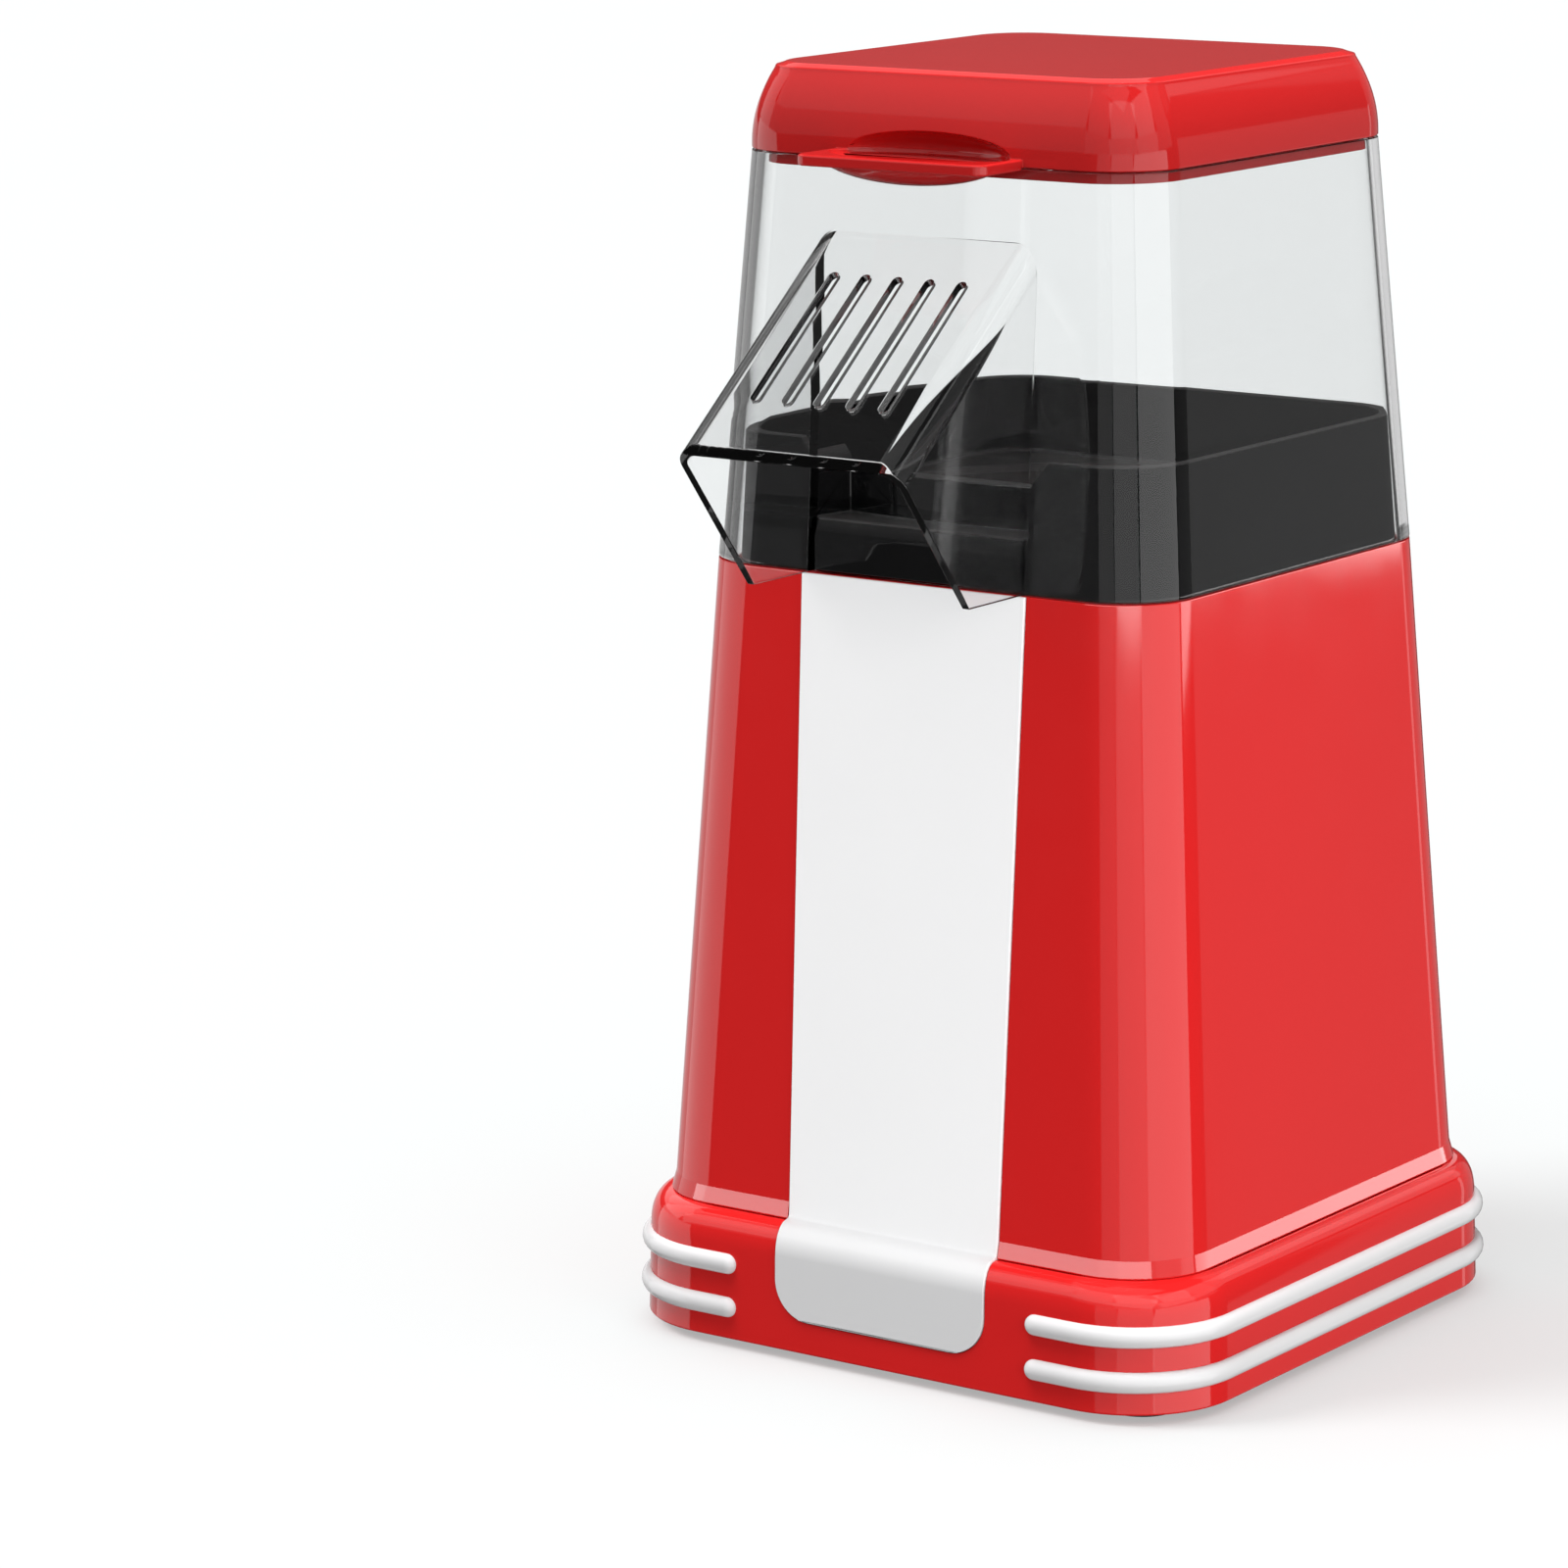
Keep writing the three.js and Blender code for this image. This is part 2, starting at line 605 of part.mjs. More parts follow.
// ---------- lid ----------
function lid() {
  const rimZ = NECK_Z + GAP / 2;
  const outerProfile = [];
  const steps = 6;
  for (let i = 0; i <= steps; i++) {
    const z = lerp(rimZ, LID_SHOULDER_Z, i / steps);
    outerProfile.push([NECK_HALF - LID_ROUNDING * ((z - NECK_Z) / (TOP_Z - NECK_Z)) ** 2, z]);
  }
  const topHalf = NECK_HALF - 7.5;
  outerProfile.push([topHalf + 0.7, TOP_Z - 0.25], [topHalf, TOP_Z]);
  const outer = tower(outerProfile);

  const skirtHalf = NECK_HALF - CLEAR_WALL - 0.5;
  const skirt = tower([
    [skirtHalf, SKIRT_BOTTOM_Z],
    [skirtHalf - 0.3, NECK_Z + 4],
  ]);
  const hollow = tower([
    [skirtHalf - 2, SKIRT_BOTTOM_Z - 1],
    [skirtHalf - 2, 284],
    [skirtHalf - 3.2, 290],
    [skirtHalf - 6.4, 296],
    [skirtHalf - 8, LID_SHOULDER_Z - 1],
  ]);
  const body = cut(join(outer, skirt), hollow);
  const backing = box([-27, 27], [-NECK_HALF + 1, -48], [NECK_Z + GAP, 289]).intersect(outer);
  return cut(join(body, backing, fingerGrip()), thumbDish(23.8, 10.6, 5.1, -60.8));
}

const thumbDish = (a, b, c, y) =>
  solid(new THREE.SphereGeometry(1, 20, 12).scale(a, b, c).translate(0, y, FINGER_PLATE.top + 0.3));

// The plate that juts out over the spout, with the shell of the thumb dish below it.
function fingerGrip() {
  const { half, depth, middleY, bottom, top, corner } = FINGER_PLATE;
  const plate = plan(roundedRectangle(half, depth, corner, 0, middleY), [bottom, top], 4);
  const shell = cut(thumbDish(25, 9.3, 6.8, -64), box([-40, 40], [-90, -40], [top, 320]));
  const coverRoom = box([-70, 70], [-halfAt(270) + 0.2, 70], [250, NECK_Z + GAP / 2]);
  return cut(join(plate, shell), coverRoom);
}

add('lid', lid(), 'red');

// ---------- popping chamber, heater sleeve and heater ----------
function poppingChamber() {
  const rim = COLLAR_BOTTOM_Z - GAP;
  const wall = 1.2;
  const r = BORE_RADIUS;
  const cup = turned([
    [0, CHAMBER_BOTTOM_Z + 6],
    [18, CHAMBER_BOTTOM_Z + 4.5],
    [r - 8, CHAMBER_BOTTOM_Z],
    [r - 3, CHAMBER_BOTTOM_Z + 1.5],
    [r, CHAMBER_BOTTOM_Z + 6],
    [r, rim - wall],
    [FLANGE_RADIUS, rim - wall],
    [FLANGE_RADIUS, rim],
    [r - wall, rim],
    [r - wall, CHAMBER_BOTTOM_Z + 7],
    [r - 4, CHAMBER_BOTTOM_Z + 3],
    [r - 8, CHAMBER_BOTTOM_Z + 1.6],
    [18, CHAMBER_BOTTOM_Z + 6],
    [0, CHAMBER_BOTTOM_Z + 7.5],
  ]);
  // Slanting louvres near the floor blow the hot air round the chamber.
  const louvres = [];
  const count = 12;
  for (let i = 0; i < count; i++) {
    const slot = new THREE.BoxGeometry(6, 1.6, 9).rotateX(0.6);
    slot.translate(r, 0, CHAMBER_BOTTOM_Z + 16).rotateZ((2 * Math.PI * i) / count);
    louvres.push(solid(slot));
  }
  const holes = flangeHoles.map(([x, y]) => rod(SCREW_RADIUS + GAP, [150, 200], x, y, 10));
  return cut(cup, ...louvres, ...holes);
}

const SLEEVE_WALL = 1.2;

function heaterSleeve() {
  const top = COLLAR_BOTTOM_Z - 2 * GAP - 1.2;
  const outer = DUCT_RADIUS + SLEEVE_WALL;
  const sleeve = turned([
    [DUCT_RADIUS, DUCT_JOINT_Z + GAP],
    [FLANGE_RADIUS - 1, DUCT_JOINT_Z + GAP],
    [FLANGE_RADIUS - 1, DUCT_JOINT_Z + GAP + SLEEVE_WALL],
    [outer, DUCT_JOINT_Z + GAP + SLEEVE_WALL],
    [outer, top - SLEEVE_WALL],
    [FLANGE_RADIUS, top - SLEEVE_WALL],
    [FLANGE_RADIUS, top],
    [DUCT_RADIUS, top],
  ]);
  const holes = flangeHoles.map(([x, y]) => rod(SCREW_RADIUS + GAP, [90, 200], x, y, 10));
  return cut(sleeve, ...holes);
}

function fanHousing() {
  const outer = DUCT_RADIUS + 2.2;
  const flange = FLANGE_RADIUS - 1;
  const housing = turned([
    [22, FAN_FLOOR_Z],
    [outer, FAN_FLOOR_Z],
    [outer, DUCT_JOINT_Z - 2.4],
    [flange, DUCT_JOINT_Z - 2.4],
    [flange, DUCT_JOINT_Z],
    [DUCT_RADIUS, DUCT_JOINT_Z],
    [DUCT_RADIUS, FAN_SHELF_Z],
    [DUCT_RADIUS - 3, FAN_SHELF_Z],
    [DUCT_RADIUS - 3, FAN_FLOOR_Z + 2],
    [22, FAN_FLOOR_Z + 2],
  ]);
  const holes = flangeHoles.map(([x, y]) => rod(SCREW_RADIUS + GAP, [90, 100], x, y, 10));
  const motorHoles = [1, -1].map((s) =>
    rod(SCREW_RADIUS + GAP, [50, 60], s * BRACKET_SCREW_X, 0, 10));
  return cut(housing, ...holes, ...motorHoles);
}

// Mica plates that stand crosswise; each has a half-height slot for the other.
function micaPlate(slotFromTop) {
  const [low, high, foot] = [FAN_SHELF_Z + GAP, 106, 84];
  const thick = 0.5;
  const reach = DUCT_RADIUS - 0.4;
  const half = 33;
  const outline = polygon([
    [-reach, low],
    [reach, low],
    [reach, foot],
    [half, foot],
    [half, high],
    [-half, high],
    [-half, foot],
    [-reach, foot],
  ]);
  const middle = (low + high) / 2;
  const slotZ = slotFromTop ? [middle - GAP, high + 1] : [low - 1, middle + GAP];
  const slot = box([-thick - GAP, thick + GAP], [-2, 2], slotZ);
  return cut(frontView(outline, [-thick, thick]), slot);
}

function heaterCoil() {
  const turns = 3;
  const [low, high] = [87, 103];
  const perTurn = 14;
  const points = [];
  for (let i = 0; i <= turns * perTurn; i++) {
    const [x, y] = polar(35.6, i / perTurn + 0.1);
    points.push([x, y, lerp(low, high, i / (turns * perTurn))]);
  }
  return tube(points, 0.9, turns * perTurn, 5);
}

add('popping_chamber', poppingChamber(), 'aluminium');
add('heater_sleeve', heaterSleeve(), 'steel');
add('fan_housing', fanHousing(), 'resin');
add('mica_plate_long', micaPlate(true), 'mica');
add('mica_plate_cross', micaPlate(false).rotate([0, 0, 90]), 'mica');
add('heater_coil', heaterCoil(), 'nichrome');
flangeHoles.forEach(([x, y], i) => {
  const sleeveHeadZ = COLLAR_BOTTOM_Z - 2 * GAP - 2.4 - GAP - HEAD_HEIGHT;
  add(`sleeve_screw_${i + 1}`, screw(x, y, sleeveHeadZ, 10), 'steel');
  const ductHeadZ = DUCT_JOINT_Z - 2.4 - GAP - HEAD_HEIGHT;
  add(`duct_screw_${i + 1}`, screw(x, y, ductHeadZ, 6), 'steel');
});

// ---------- fan and motor ----------
function fanImpeller() {
  const floor = IMPELLER_Z;
  const blades = [];
  const hub = turned([
    [SHAFT_RADIUS + 0.05, floor],
    [IMPELLER_RADIUS, floor],
    [IMPELLER_RADIUS, floor + 1.6],
    [7, floor + 1.6],
    [5, floor + 12],
    [SHAFT_RADIUS + 0.05, floor + 12],
  ]);
  for (let i = 0; i < BLADE_COUNT; i++) {
    const blade = new THREE.BoxGeometry(26, 1.4, 12.5).rotateZ(0.35);
    blade.translate(24, -4, floor + 1.5 + 6).rotateZ((2 * Math.PI * i) / BLADE_COUNT);
    blades.push(solid(blade));
  }
  const reach = turned([
    [0, floor],
    [IMPELLER_RADIUS, floor],
    [IMPELLER_RADIUS, floor + 14],
    [0, floor + 14],
  ]);
  return join(hub, ...blades).intersect(reach);
}

function motorShaft() {
  const armatureTop = MOTOR_TOP_Z - 8;
  return turned(
    [
      [0, MOTOR_BOTTOM_Z + 1.2],
      [SHAFT_RADIUS, MOTOR_BOTTOM_Z + 1.2],
      [SHAFT_RADIUS, 25],
      [4, 25],
      [4, 29],
      [9.5, 29],
      [9.5, armatureTop],
      [SHAFT_RADIUS, armatureTop],
      [SHAFT_RADIUS, 76],
      [0, 76],
    ],
    20,
  );
}

function motorCan() {
  const top = MOTOR_TOP_Z;
  const wall = 1.2;
  const can = turned(
    [
      [MOTOR_RADIUS, MOTOR_BOTTOM_Z],
      [MOTOR_RADIUS, top],
      [SHAFT_RADIUS + 0.05, top],
      [SHAFT_RADIUS + 0.05, top - 3],
      [MOTOR_RADIUS - wall - 2.4, top - 3],
      [MOTOR_RADIUS - wall - 2.4, MOTOR_BOTTOM_Z + 6],
      [MOTOR_RADIUS - wall, MOTOR_BOTTOM_Z + 6],
      [MOTOR_RADIUS - wall, MOTOR_BOTTOM_Z],
    ],
    28,
  );
  const holes = [1, -1].map((s) =>
    rod(SCREW_RADIUS + GAP, [top - 4, top + 1], s * MOTOR_SCREW_X, 0, 10));
  return cut(can, ...holes);
}

function motorEndCap() {
  const r = MOTOR_RADIUS - 1.2 - GAP;
  const z = MOTOR_BOTTOM_Z;
  const cap = turned(
    [
      [0, z - 2.4],
      [r, z - 2.4],
      [r, z + 4],
      [r - 2, z + 4],
      [r - 2, z - 0.2],
      [SHAFT_RADIUS + 2, z - 0.2],
      [SHAFT_RADIUS + 2, z + 3],
      [SHAFT_RADIUS + 0.05, z + 3],
      [SHAFT_RADIUS + 0.05, z + 0.6],
      [0, z + 0.6],
    ],
    28,
  );
  const tabs = [TAB_X, -TAB_X].map((x) => box([x - 0.4, x + 0.4], [-2, 2], [z - 7, z - 1]));
  return join(cap, ...tabs);
}

function motorBracket() {
  const [low, high] = [MOTOR_TOP_Z + GAP, FAN_FLOOR_Z - GAP];
  const ring = rod(12, [low, high], 0, 0, 28);
  const arm = plan(roundedRectangle(35, 5.5, 5), [low, high], 4);
  const crossArm = plan(roundedRectangle(5.5, 30, 5), [low, high], 4);
  const holes = [rod(4, [low - 1, high + 1], 0, 0, 16)];
  for (const s of [1, -1]) {
    for (const x of [BRACKET_SCREW_X, MOTOR_SCREW_X]) {
      holes.push(rod(SCREW_RADIUS + GAP, [low - 1, high + 1], s * x, 0, 10));
    }
  }
  return cut(join(ring, arm, crossArm), ...holes);
}

// A screw turned over, so its head is on top and it points down.
const screwDown = (x, y, headTopZ, length) =>
  screw(0, 0, 0, length).rotate([180, 0, 0]).translate([x, y, headTopZ]);

add('fan_impeller', fanImpeller(), 'nylon');
add('motor_shaft', motorShaft(), 'steel');
add('motor_can', motorCan(), 'steel');
add('motor_end_cap', motorEndCap(), 'nylon');
add('motor_bracket', motorBracket(), 'steel');
[-1, 1].forEach((s, i) => {
  const motorScrew = screwDown(s * MOTOR_SCREW_X, 0, MOTOR_TOP_Z + 4.5, 4);
  add(`motor_screw_${i + 1}`, motorScrew, 'steel');
  const bracketScrew = screw(s * BRACKET_SCREW_X, 0, MOTOR_TOP_Z - HEAD_HEIGHT, 5);
  add(`bracket_screw_${i + 1}`, bracketScrew, 'steel');
});

// ---------- electrical parts ----------
function rectifierBoard() {
  const z = MOTOR_BOTTOM_Z - 2.4 - GAP;
  const board = rod(15.5, [z - 1.5, z], 0, 0, 28);
  const slots = [TAB_X, -TAB_X].map((x) => box([x - 0.8, x + 0.8], [-2.4, 2.4], [0, 20]));
  return cut(board, ...slots);
}

function diode(turn) {
  const z = MOTOR_BOTTOM_Z - 2.4 - 2 * GAP - 1.5 - 1.6;
  const body = new THREE.CylinderGeometry(1.5, 1.5, 5.2, 12);
  const [x, y] = polar(11.6, turn);
  return solid(body.rotateZ(2 * Math.PI * turn).translate(x, y, z));
}

function thermostat() {
  const face = DUCT_RADIUS + SLEEVE_WALL + GAP;
  const disc = new THREE.CylinderGeometry(8, 8, 5, 20).rotateZ(Math.PI / 2);
  const body = solid(disc.translate(face + 2.5, 0, CUT_OUT_Z));
  const bladeZ = [CUT_OUT_Z - 0.4, CUT_OUT_Z + 0.4];
  const blades = [4, -4].map((y) => box([face + 3, face + 9], [y - 1.2, y + 1.2], bladeZ));
  return join(body, ...blades);
}

function thermalFuse() {
  const body = new THREE.CylinderGeometry(2, 2, 13, 12);
  return solid(body.translate(-(DUCT_RADIUS + SLEEVE_WALL + 2 + GAP), 0, CUT_OUT_Z));
}

function terminalBlock() {
  const z = PLATE_TOP_Z + GAP;
  let block = box([-52, -28], [42, 56], [z, z + 11]);
  for (const x of [-48, -40, -32]) block = cut(block, rod(2, [z + 5, z + 20], x, 49, 10));
  return block;
}

// Places a solid drawn about the switch's centre (Y outwards, Z up) on the leaning rear wall.
function switchPlace(made) {
  const lean = Math.atan((DECK_HALF - SEAM_HALF) / (SEAM_Z - DECK_Z));
  return made.rotate([THREE.MathUtils.radToDeg(lean), 0, 0]).translate([0, halfAt(SWITCH_Z), SWITCH_Z]);
}

function switchBody() {
  const bezel = box([-7.7, 7.7], [GAP, 2], [-10.8, 10.8]);
  const frame = box([-6.4, 6.4], [-14, 1], [-9.6, 9.6]);
  const cavity = box([-5.4, 5.4], [-9, 3], [-8.7, 8.7]);
  const blades = [5, -5].map((z) => box([-2.4, 2.4], [-19, -13], [z - 0.4, z + 0.4]));
  return switchPlace(cut(join(bezel, frame, ...blades), cavity));
}

const ROCKER_PIVOT_DEPTH = 1.8;

function switchRocker() {
  const section = polygon([
    [-5, 6.6],
    [1.9, 7.7],
    [0.7, 0],
    [1.9, -7.7],
    [-5, -6.6],
    [-7, 0],
  ]);
  const rocker = sideView(section, [-5, 5]);
  const tilted = rocker
    .translate([0, ROCKER_PIVOT_DEPTH, 0])
    .rotate([-SWITCH_TILT, 0, 0])
    .translate([0, -ROCKER_PIVOT_DEPTH, 0]);
  return switchPlace(tilted);
}

function cordGland() {
  const y = BASE_HALF;
  const gland = turned(
    [
      [3.3, -7],
      [GLAND_RADIUS, -7],
      [GLAND_RADIUS, 0.2],
      [7.6, 0.2],
      [7.6, 0.9],
      [5.6, 1.9],
      [4.6, 1.9],
      [3.3, 1.9],
    ],
    24,
  );
  return gland.rotate([-90, 0, 0]).translate([0, y, GLAND_Z]);
}

add('rectifier_board', rectifierBoard(), 'board');
for (let i = 0; i < 4; i++) add(`diode_${i + 1}`, diode(i / 4 + 0.125), 'black');
add('thermostat', thermostat(), 'steel');
add('thermal_fuse', thermalFuse(), 'steel');
add('terminal_block', terminalBlock(), 'nylon');
add('switch_body', switchBody(), 'black');
add('switch_rocker', switchRocker(), 'black');
add('cord_gland', cordGland(), 'black');

// ---------- place the origin on the floor, under the middle of the whole machine ----------
const frontY = SPOUT_LIP.y - 0.6;
const rearY = wallHalfAt(TRIM_Z[1]) + TRIM_PROUD;
machine.position.y = -(frontY + rearY) / 2;

export default machine;
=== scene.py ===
"""Retro hot-air popcorn maker: the looks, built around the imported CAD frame.

Metres, +Z up, the spout points to -Y. The machine is square in plan, so most shells are lofts of
rounded squares about one upright axis, and the rest are turned, swept or carved from such lofts.
"""

import json
import math

import bmesh
import bpy
from mathutils import Matrix, Vector


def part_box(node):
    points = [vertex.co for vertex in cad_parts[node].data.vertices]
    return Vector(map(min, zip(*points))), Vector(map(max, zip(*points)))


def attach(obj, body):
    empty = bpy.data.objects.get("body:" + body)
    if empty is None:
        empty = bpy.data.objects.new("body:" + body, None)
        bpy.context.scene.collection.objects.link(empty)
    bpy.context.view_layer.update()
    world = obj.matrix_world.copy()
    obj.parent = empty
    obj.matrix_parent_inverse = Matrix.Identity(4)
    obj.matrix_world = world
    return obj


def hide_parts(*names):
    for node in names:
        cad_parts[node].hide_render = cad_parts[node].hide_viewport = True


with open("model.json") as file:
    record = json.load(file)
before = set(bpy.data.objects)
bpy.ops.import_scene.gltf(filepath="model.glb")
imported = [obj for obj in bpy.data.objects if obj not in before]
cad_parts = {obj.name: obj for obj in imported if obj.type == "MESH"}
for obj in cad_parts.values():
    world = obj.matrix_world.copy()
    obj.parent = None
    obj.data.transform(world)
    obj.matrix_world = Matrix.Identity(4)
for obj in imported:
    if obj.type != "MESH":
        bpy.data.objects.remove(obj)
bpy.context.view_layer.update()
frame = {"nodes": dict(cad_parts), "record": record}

MM = 0.001
GAP = 0.3 * MM

# ---------- driving dimensions, from the frame ----------
TOWER_LOW, TOWER_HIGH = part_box("tower_housing")
PLINTH_LOW, PLINTH_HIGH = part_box("base_plinth")
COVER_LOW, COVER_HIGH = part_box("clear_cover")
LID_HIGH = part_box("lid")[1]
STRIP_LOW, STRIP_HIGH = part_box("front_strip")
COLLAR_LOW, COLLAR_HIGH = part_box("popping_collar")
CHAMBER_LOW, CHAMBER_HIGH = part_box("popping_chamber")

AXIS_Y = (TOWER_LOW.y + TOWER_HIGH.y) / 2
BASE_HALF, BASE_Z, DECK_Z = PLINTH_HIGH.x, PLINTH_LOW.z, PLINTH_HIGH.z
FOOT_Z, SEAM_LOW_Z = DECK_Z - 0.07 * MM, TOWER_HIGH.z
SEAM_HIGH_Z, NECK_LOW_Z = COVER_LOW.z, COVER_HIGH.z
NECK_HIGH_Z, TOP_Z = NECK_LOW_Z + GAP, LID_HIGH.z
DECK_HALF, SEAM_HALF, NECK_HALF = TOWER_HIGH.x, COVER_HIGH.x, LID_HIGH.x

TOWER_CORNER = 0.28  # corner radius as a share of the half width
BASE_CORNER = 0.325
CORNER_STEPS = 16
WALL = 2.5 * MM
CLEAR_WALL = 2.0 * MM
MERGED_BELOW = 1e-6  # points closer than this, in metres, become one


def half_at(z):
    """Outer half width of the tower and of the clear cover at a height."""
    if z < SEAM_HIGH_Z:
        share = (z - FOOT_Z) / (SEAM_HIGH_Z - FOOT_Z)
        return DECK_HALF + (SEAM_HALF - DECK_HALF) * share
    share = (z - SEAM_HIGH_Z) / (NECK_HIGH_Z - SEAM_HIGH_Z)
    return SEAM_HALF + (NECK_HALF - SEAM_HALF) * share


# ---------- camera ----------
def turn_frame(azimuth, elevation):
    """Unit vectors right, up and back of a camera that looks from that side."""
    az, el = math.radians(azimuth), math.radians(elevation)
    back = Vector((math.sin(az) * math.cos(el), -math.cos(az) * math.cos(el), math.sin(el)))
    right = Vector((math.cos(az), math.sin(az), 0))
    return right, back.cross(right), back


def make_camera():
    stand_azimuth, stand_elevation, distance = 33.23, 10.936, 1.3971
    look_azimuth, look_elevation, roll = 36.032, 11.835, -0.51
    centre = Vector((0, AXIS_Y, TOP_Z / 2))
    place = centre + distance * turn_frame(stand_azimuth, stand_elevation)[2]
    right, up, back = turn_frame(look_azimuth, look_elevation)
    turn = Matrix((right, up, back)).transposed().to_4x4()
    data = bpy.data.cameras.new("camera")
    data.sensor_width = 36
    data.lens = 135.25
    data.clip_start, data.clip_end = 0.05, 60
    camera = bpy.data.objects.new("camera", data)
    camera.matrix_world = (
        Matrix.Translation(place) @ turn @ Matrix.Rotation(math.radians(roll), 4, "Z")
    )
    bpy.context.scene.collection.objects.link(camera)
    bpy.context.scene.camera = camera


make_camera()


# ---------- mesh helpers ----------
def piece(name, points, faces):
    """A mesh object from points and faces, with doubled points merged."""
    mesh = bpy.data.meshes.new(name)
    mesh.from_pydata([tuple(p) for p in points], [], faces)
    obj = bpy.data.objects.new(name, mesh)
    bpy.context.scene.collection.objects.link(obj)
    clean(obj)
    return obj


def clean(obj):
    bm = bmesh.new()
    bm.from_mesh(obj.data)
    bmesh.ops.remove_doubles(bm, verts=bm.verts, dist=MERGED_BELOW)
    bmesh.ops.dissolve_degenerate(bm, edges=bm.edges, dist=MERGED_BELOW)
    bmesh.ops.recalc_face_normals(bm, faces=bm.faces)
    bm.to_mesh(obj.data)
    bm.free()


def skin_over(rings, closed):
    """Faces between successive rings of points; `closed` joins the last ring to the first."""
    count, around = len(rings), len(rings[0])
    faces = []
    for i in range(count if closed else count - 1):
        low, high = i * around, (i + 1) % count * around
        for j in range(around):
            k = (j + 1) % around
            faces.append((low + j, low + k, high + k, high + j))
    if not closed:
        faces.append(tuple(reversed(range(around))))
        faces.append(tuple(range((count - 1) * around, count * around)))
    return [p for ring in rings for p in ring], faces


def arc(centre_a, centre_b, radius, start, end, steps):
    """Points of an arc as (a, b) pairs, angles in degrees."""
    points = []
    for i in range(steps + 1):
        angle = math.radians(start + (end - start) * i / steps)
        points.append((centre_a + radius * math.cos(angle), centre_b + radius * math.sin(angle)))
    return points


def rounded_outline(half_a, half_b, radius, steps=8):
    points = []
    for sa, sb, start in ((1, -1, -90), (1, 1, 0), (-1, 1, 90), (-1, -1, 180)):
        points += arc(sa * (half_a - radius), sb * (half_b - radius), radius, start, start + 90, steps)
    return points


def square_ring(half, corner, z):
    return [(a, AXIS_Y + b, z) for a, b in rounded_outline(half, half, corner, CORNER_STEPS)]


def loft(name, profile, share=TOWER_CORNER, closed=False):
    """A loft of rounded squares; the profile is a list of (half width, z)."""
    rings = [square_ring(half, share * half, z) for half, z in profile]
    return piece(name, *skin_over(rings, closed))


def turned(name, profile, x=0.0, y=AXIS_Y, sides=96, closed=False):
    """A body turned about an upright axis; the profile is a list of (radius, z)."""
    rings = []
    for radius, z in profile:
        ring = []
        for j in range(sides):
            angle = 2 * math.pi * j / sides
            ring.append((x + radius * math.cos(angle), y + radius * math.sin(angle), z))
        rings.append(ring)
    return piece(name, *skin_over(rings, closed))


def prism(name, outline, place, start, end, along):
    """An outline of (a, b) pairs pushed from start to end along a direction; place(a, b) is 3-D."""
    rings = []
    for reach in (start, end):
        rings.append([Vector(place(a, b)) + reach * Vector(along) for a, b in outline])
    return piece(name, *skin_over(rings, False))


def pair(low, high):
    return (low * MM, high * MM)


def oblong(a, b):
    return [(a[0], b[0]), (a[1], b[0]), (a[1], b[1]), (a[0], b[1])]


def box(name, x, y, z):
    """A block between two X, two Y (from the tower's axis) and two Z values."""
    return prism(name, oblong(x, z), lambda a, b: (a, AXIS_Y, b), y[0], y[1], (0, 1, 0))


def side_prism(name, outline, half):
    """An outline of (y from the axis, z) pairs pushed across X."""
    return prism(name, outline, lambda a, b: (0, AXIS_Y + a, b), -half, half, (1, 0, 0))


def bake(obj):
    """Applies the object's modifiers to its mesh."""
    depsgraph = bpy.context.evaluated_depsgraph_get()
    mesh = bpy.data.meshes.new_from_object(obj.evaluated_get(depsgraph))
    obj.modifiers.clear()
    obj.data = mesh
    return obj


def combine(target, other, operation):
    modifier = target.modifiers.new(operation, "BOOLEAN")
    modifier.operation = operation
    modifier.solver = "EXACT"
    modifier.object = other
    bake(target)
    bpy.data.objects.remove(other)
    clean(target)
    return target


def carve(target, *cutters):
    for cutter in cutters:
        combine(target, cutter, "DIFFERENCE")
    return target


def fuse(target, *others):
    for other in others:
        combine(target, other, "UNION")
    return target


def soften(obj, width, segments=3, angle=35):
    """Rounds the sharp edges."""
    modifier = obj.modifiers.new("soften", "BEVEL")
    modifier.width = width
    modifier.segments = segments
    modifier.limit_method = "ANGLE"
    modifier.angle_limit = math.radians(angle)
    modifier.use_clamp_overlap = False
    modifier.miter_outer = "MITER_ARC"
    return obj


def smooth(obj, angle=28):
    """Smooth shading with crisp edges, and normals that keep large faces flat."""
    bake(obj)
    for polygon in obj.data.polygons:
        polygon.use_smooth = True
    obj.data.set_sharp_from_angle(angle=math.radians(angle))
    modifier = obj.modifiers.new("normals", "WEIGHTED_NORMAL")
    modifier.keep_sharp = True
    modifier.weight = 100
    return obj


# ---------- materials ----------
def linear(hexcode):
    """Linear colour from an sRGB hex number."""
    channels = (((hexcode >> shift) & 255) / 255 for shift in (16, 8, 0))
    return (*(c / 12.92 if c <= 0.04045 else ((c + 0.055) / 1.055) ** 2.4 for c in channels), 1.0)


def shaded(colour, by):
    return (*(min(1.0, c * by) for c in colour[:3]), 1.0)


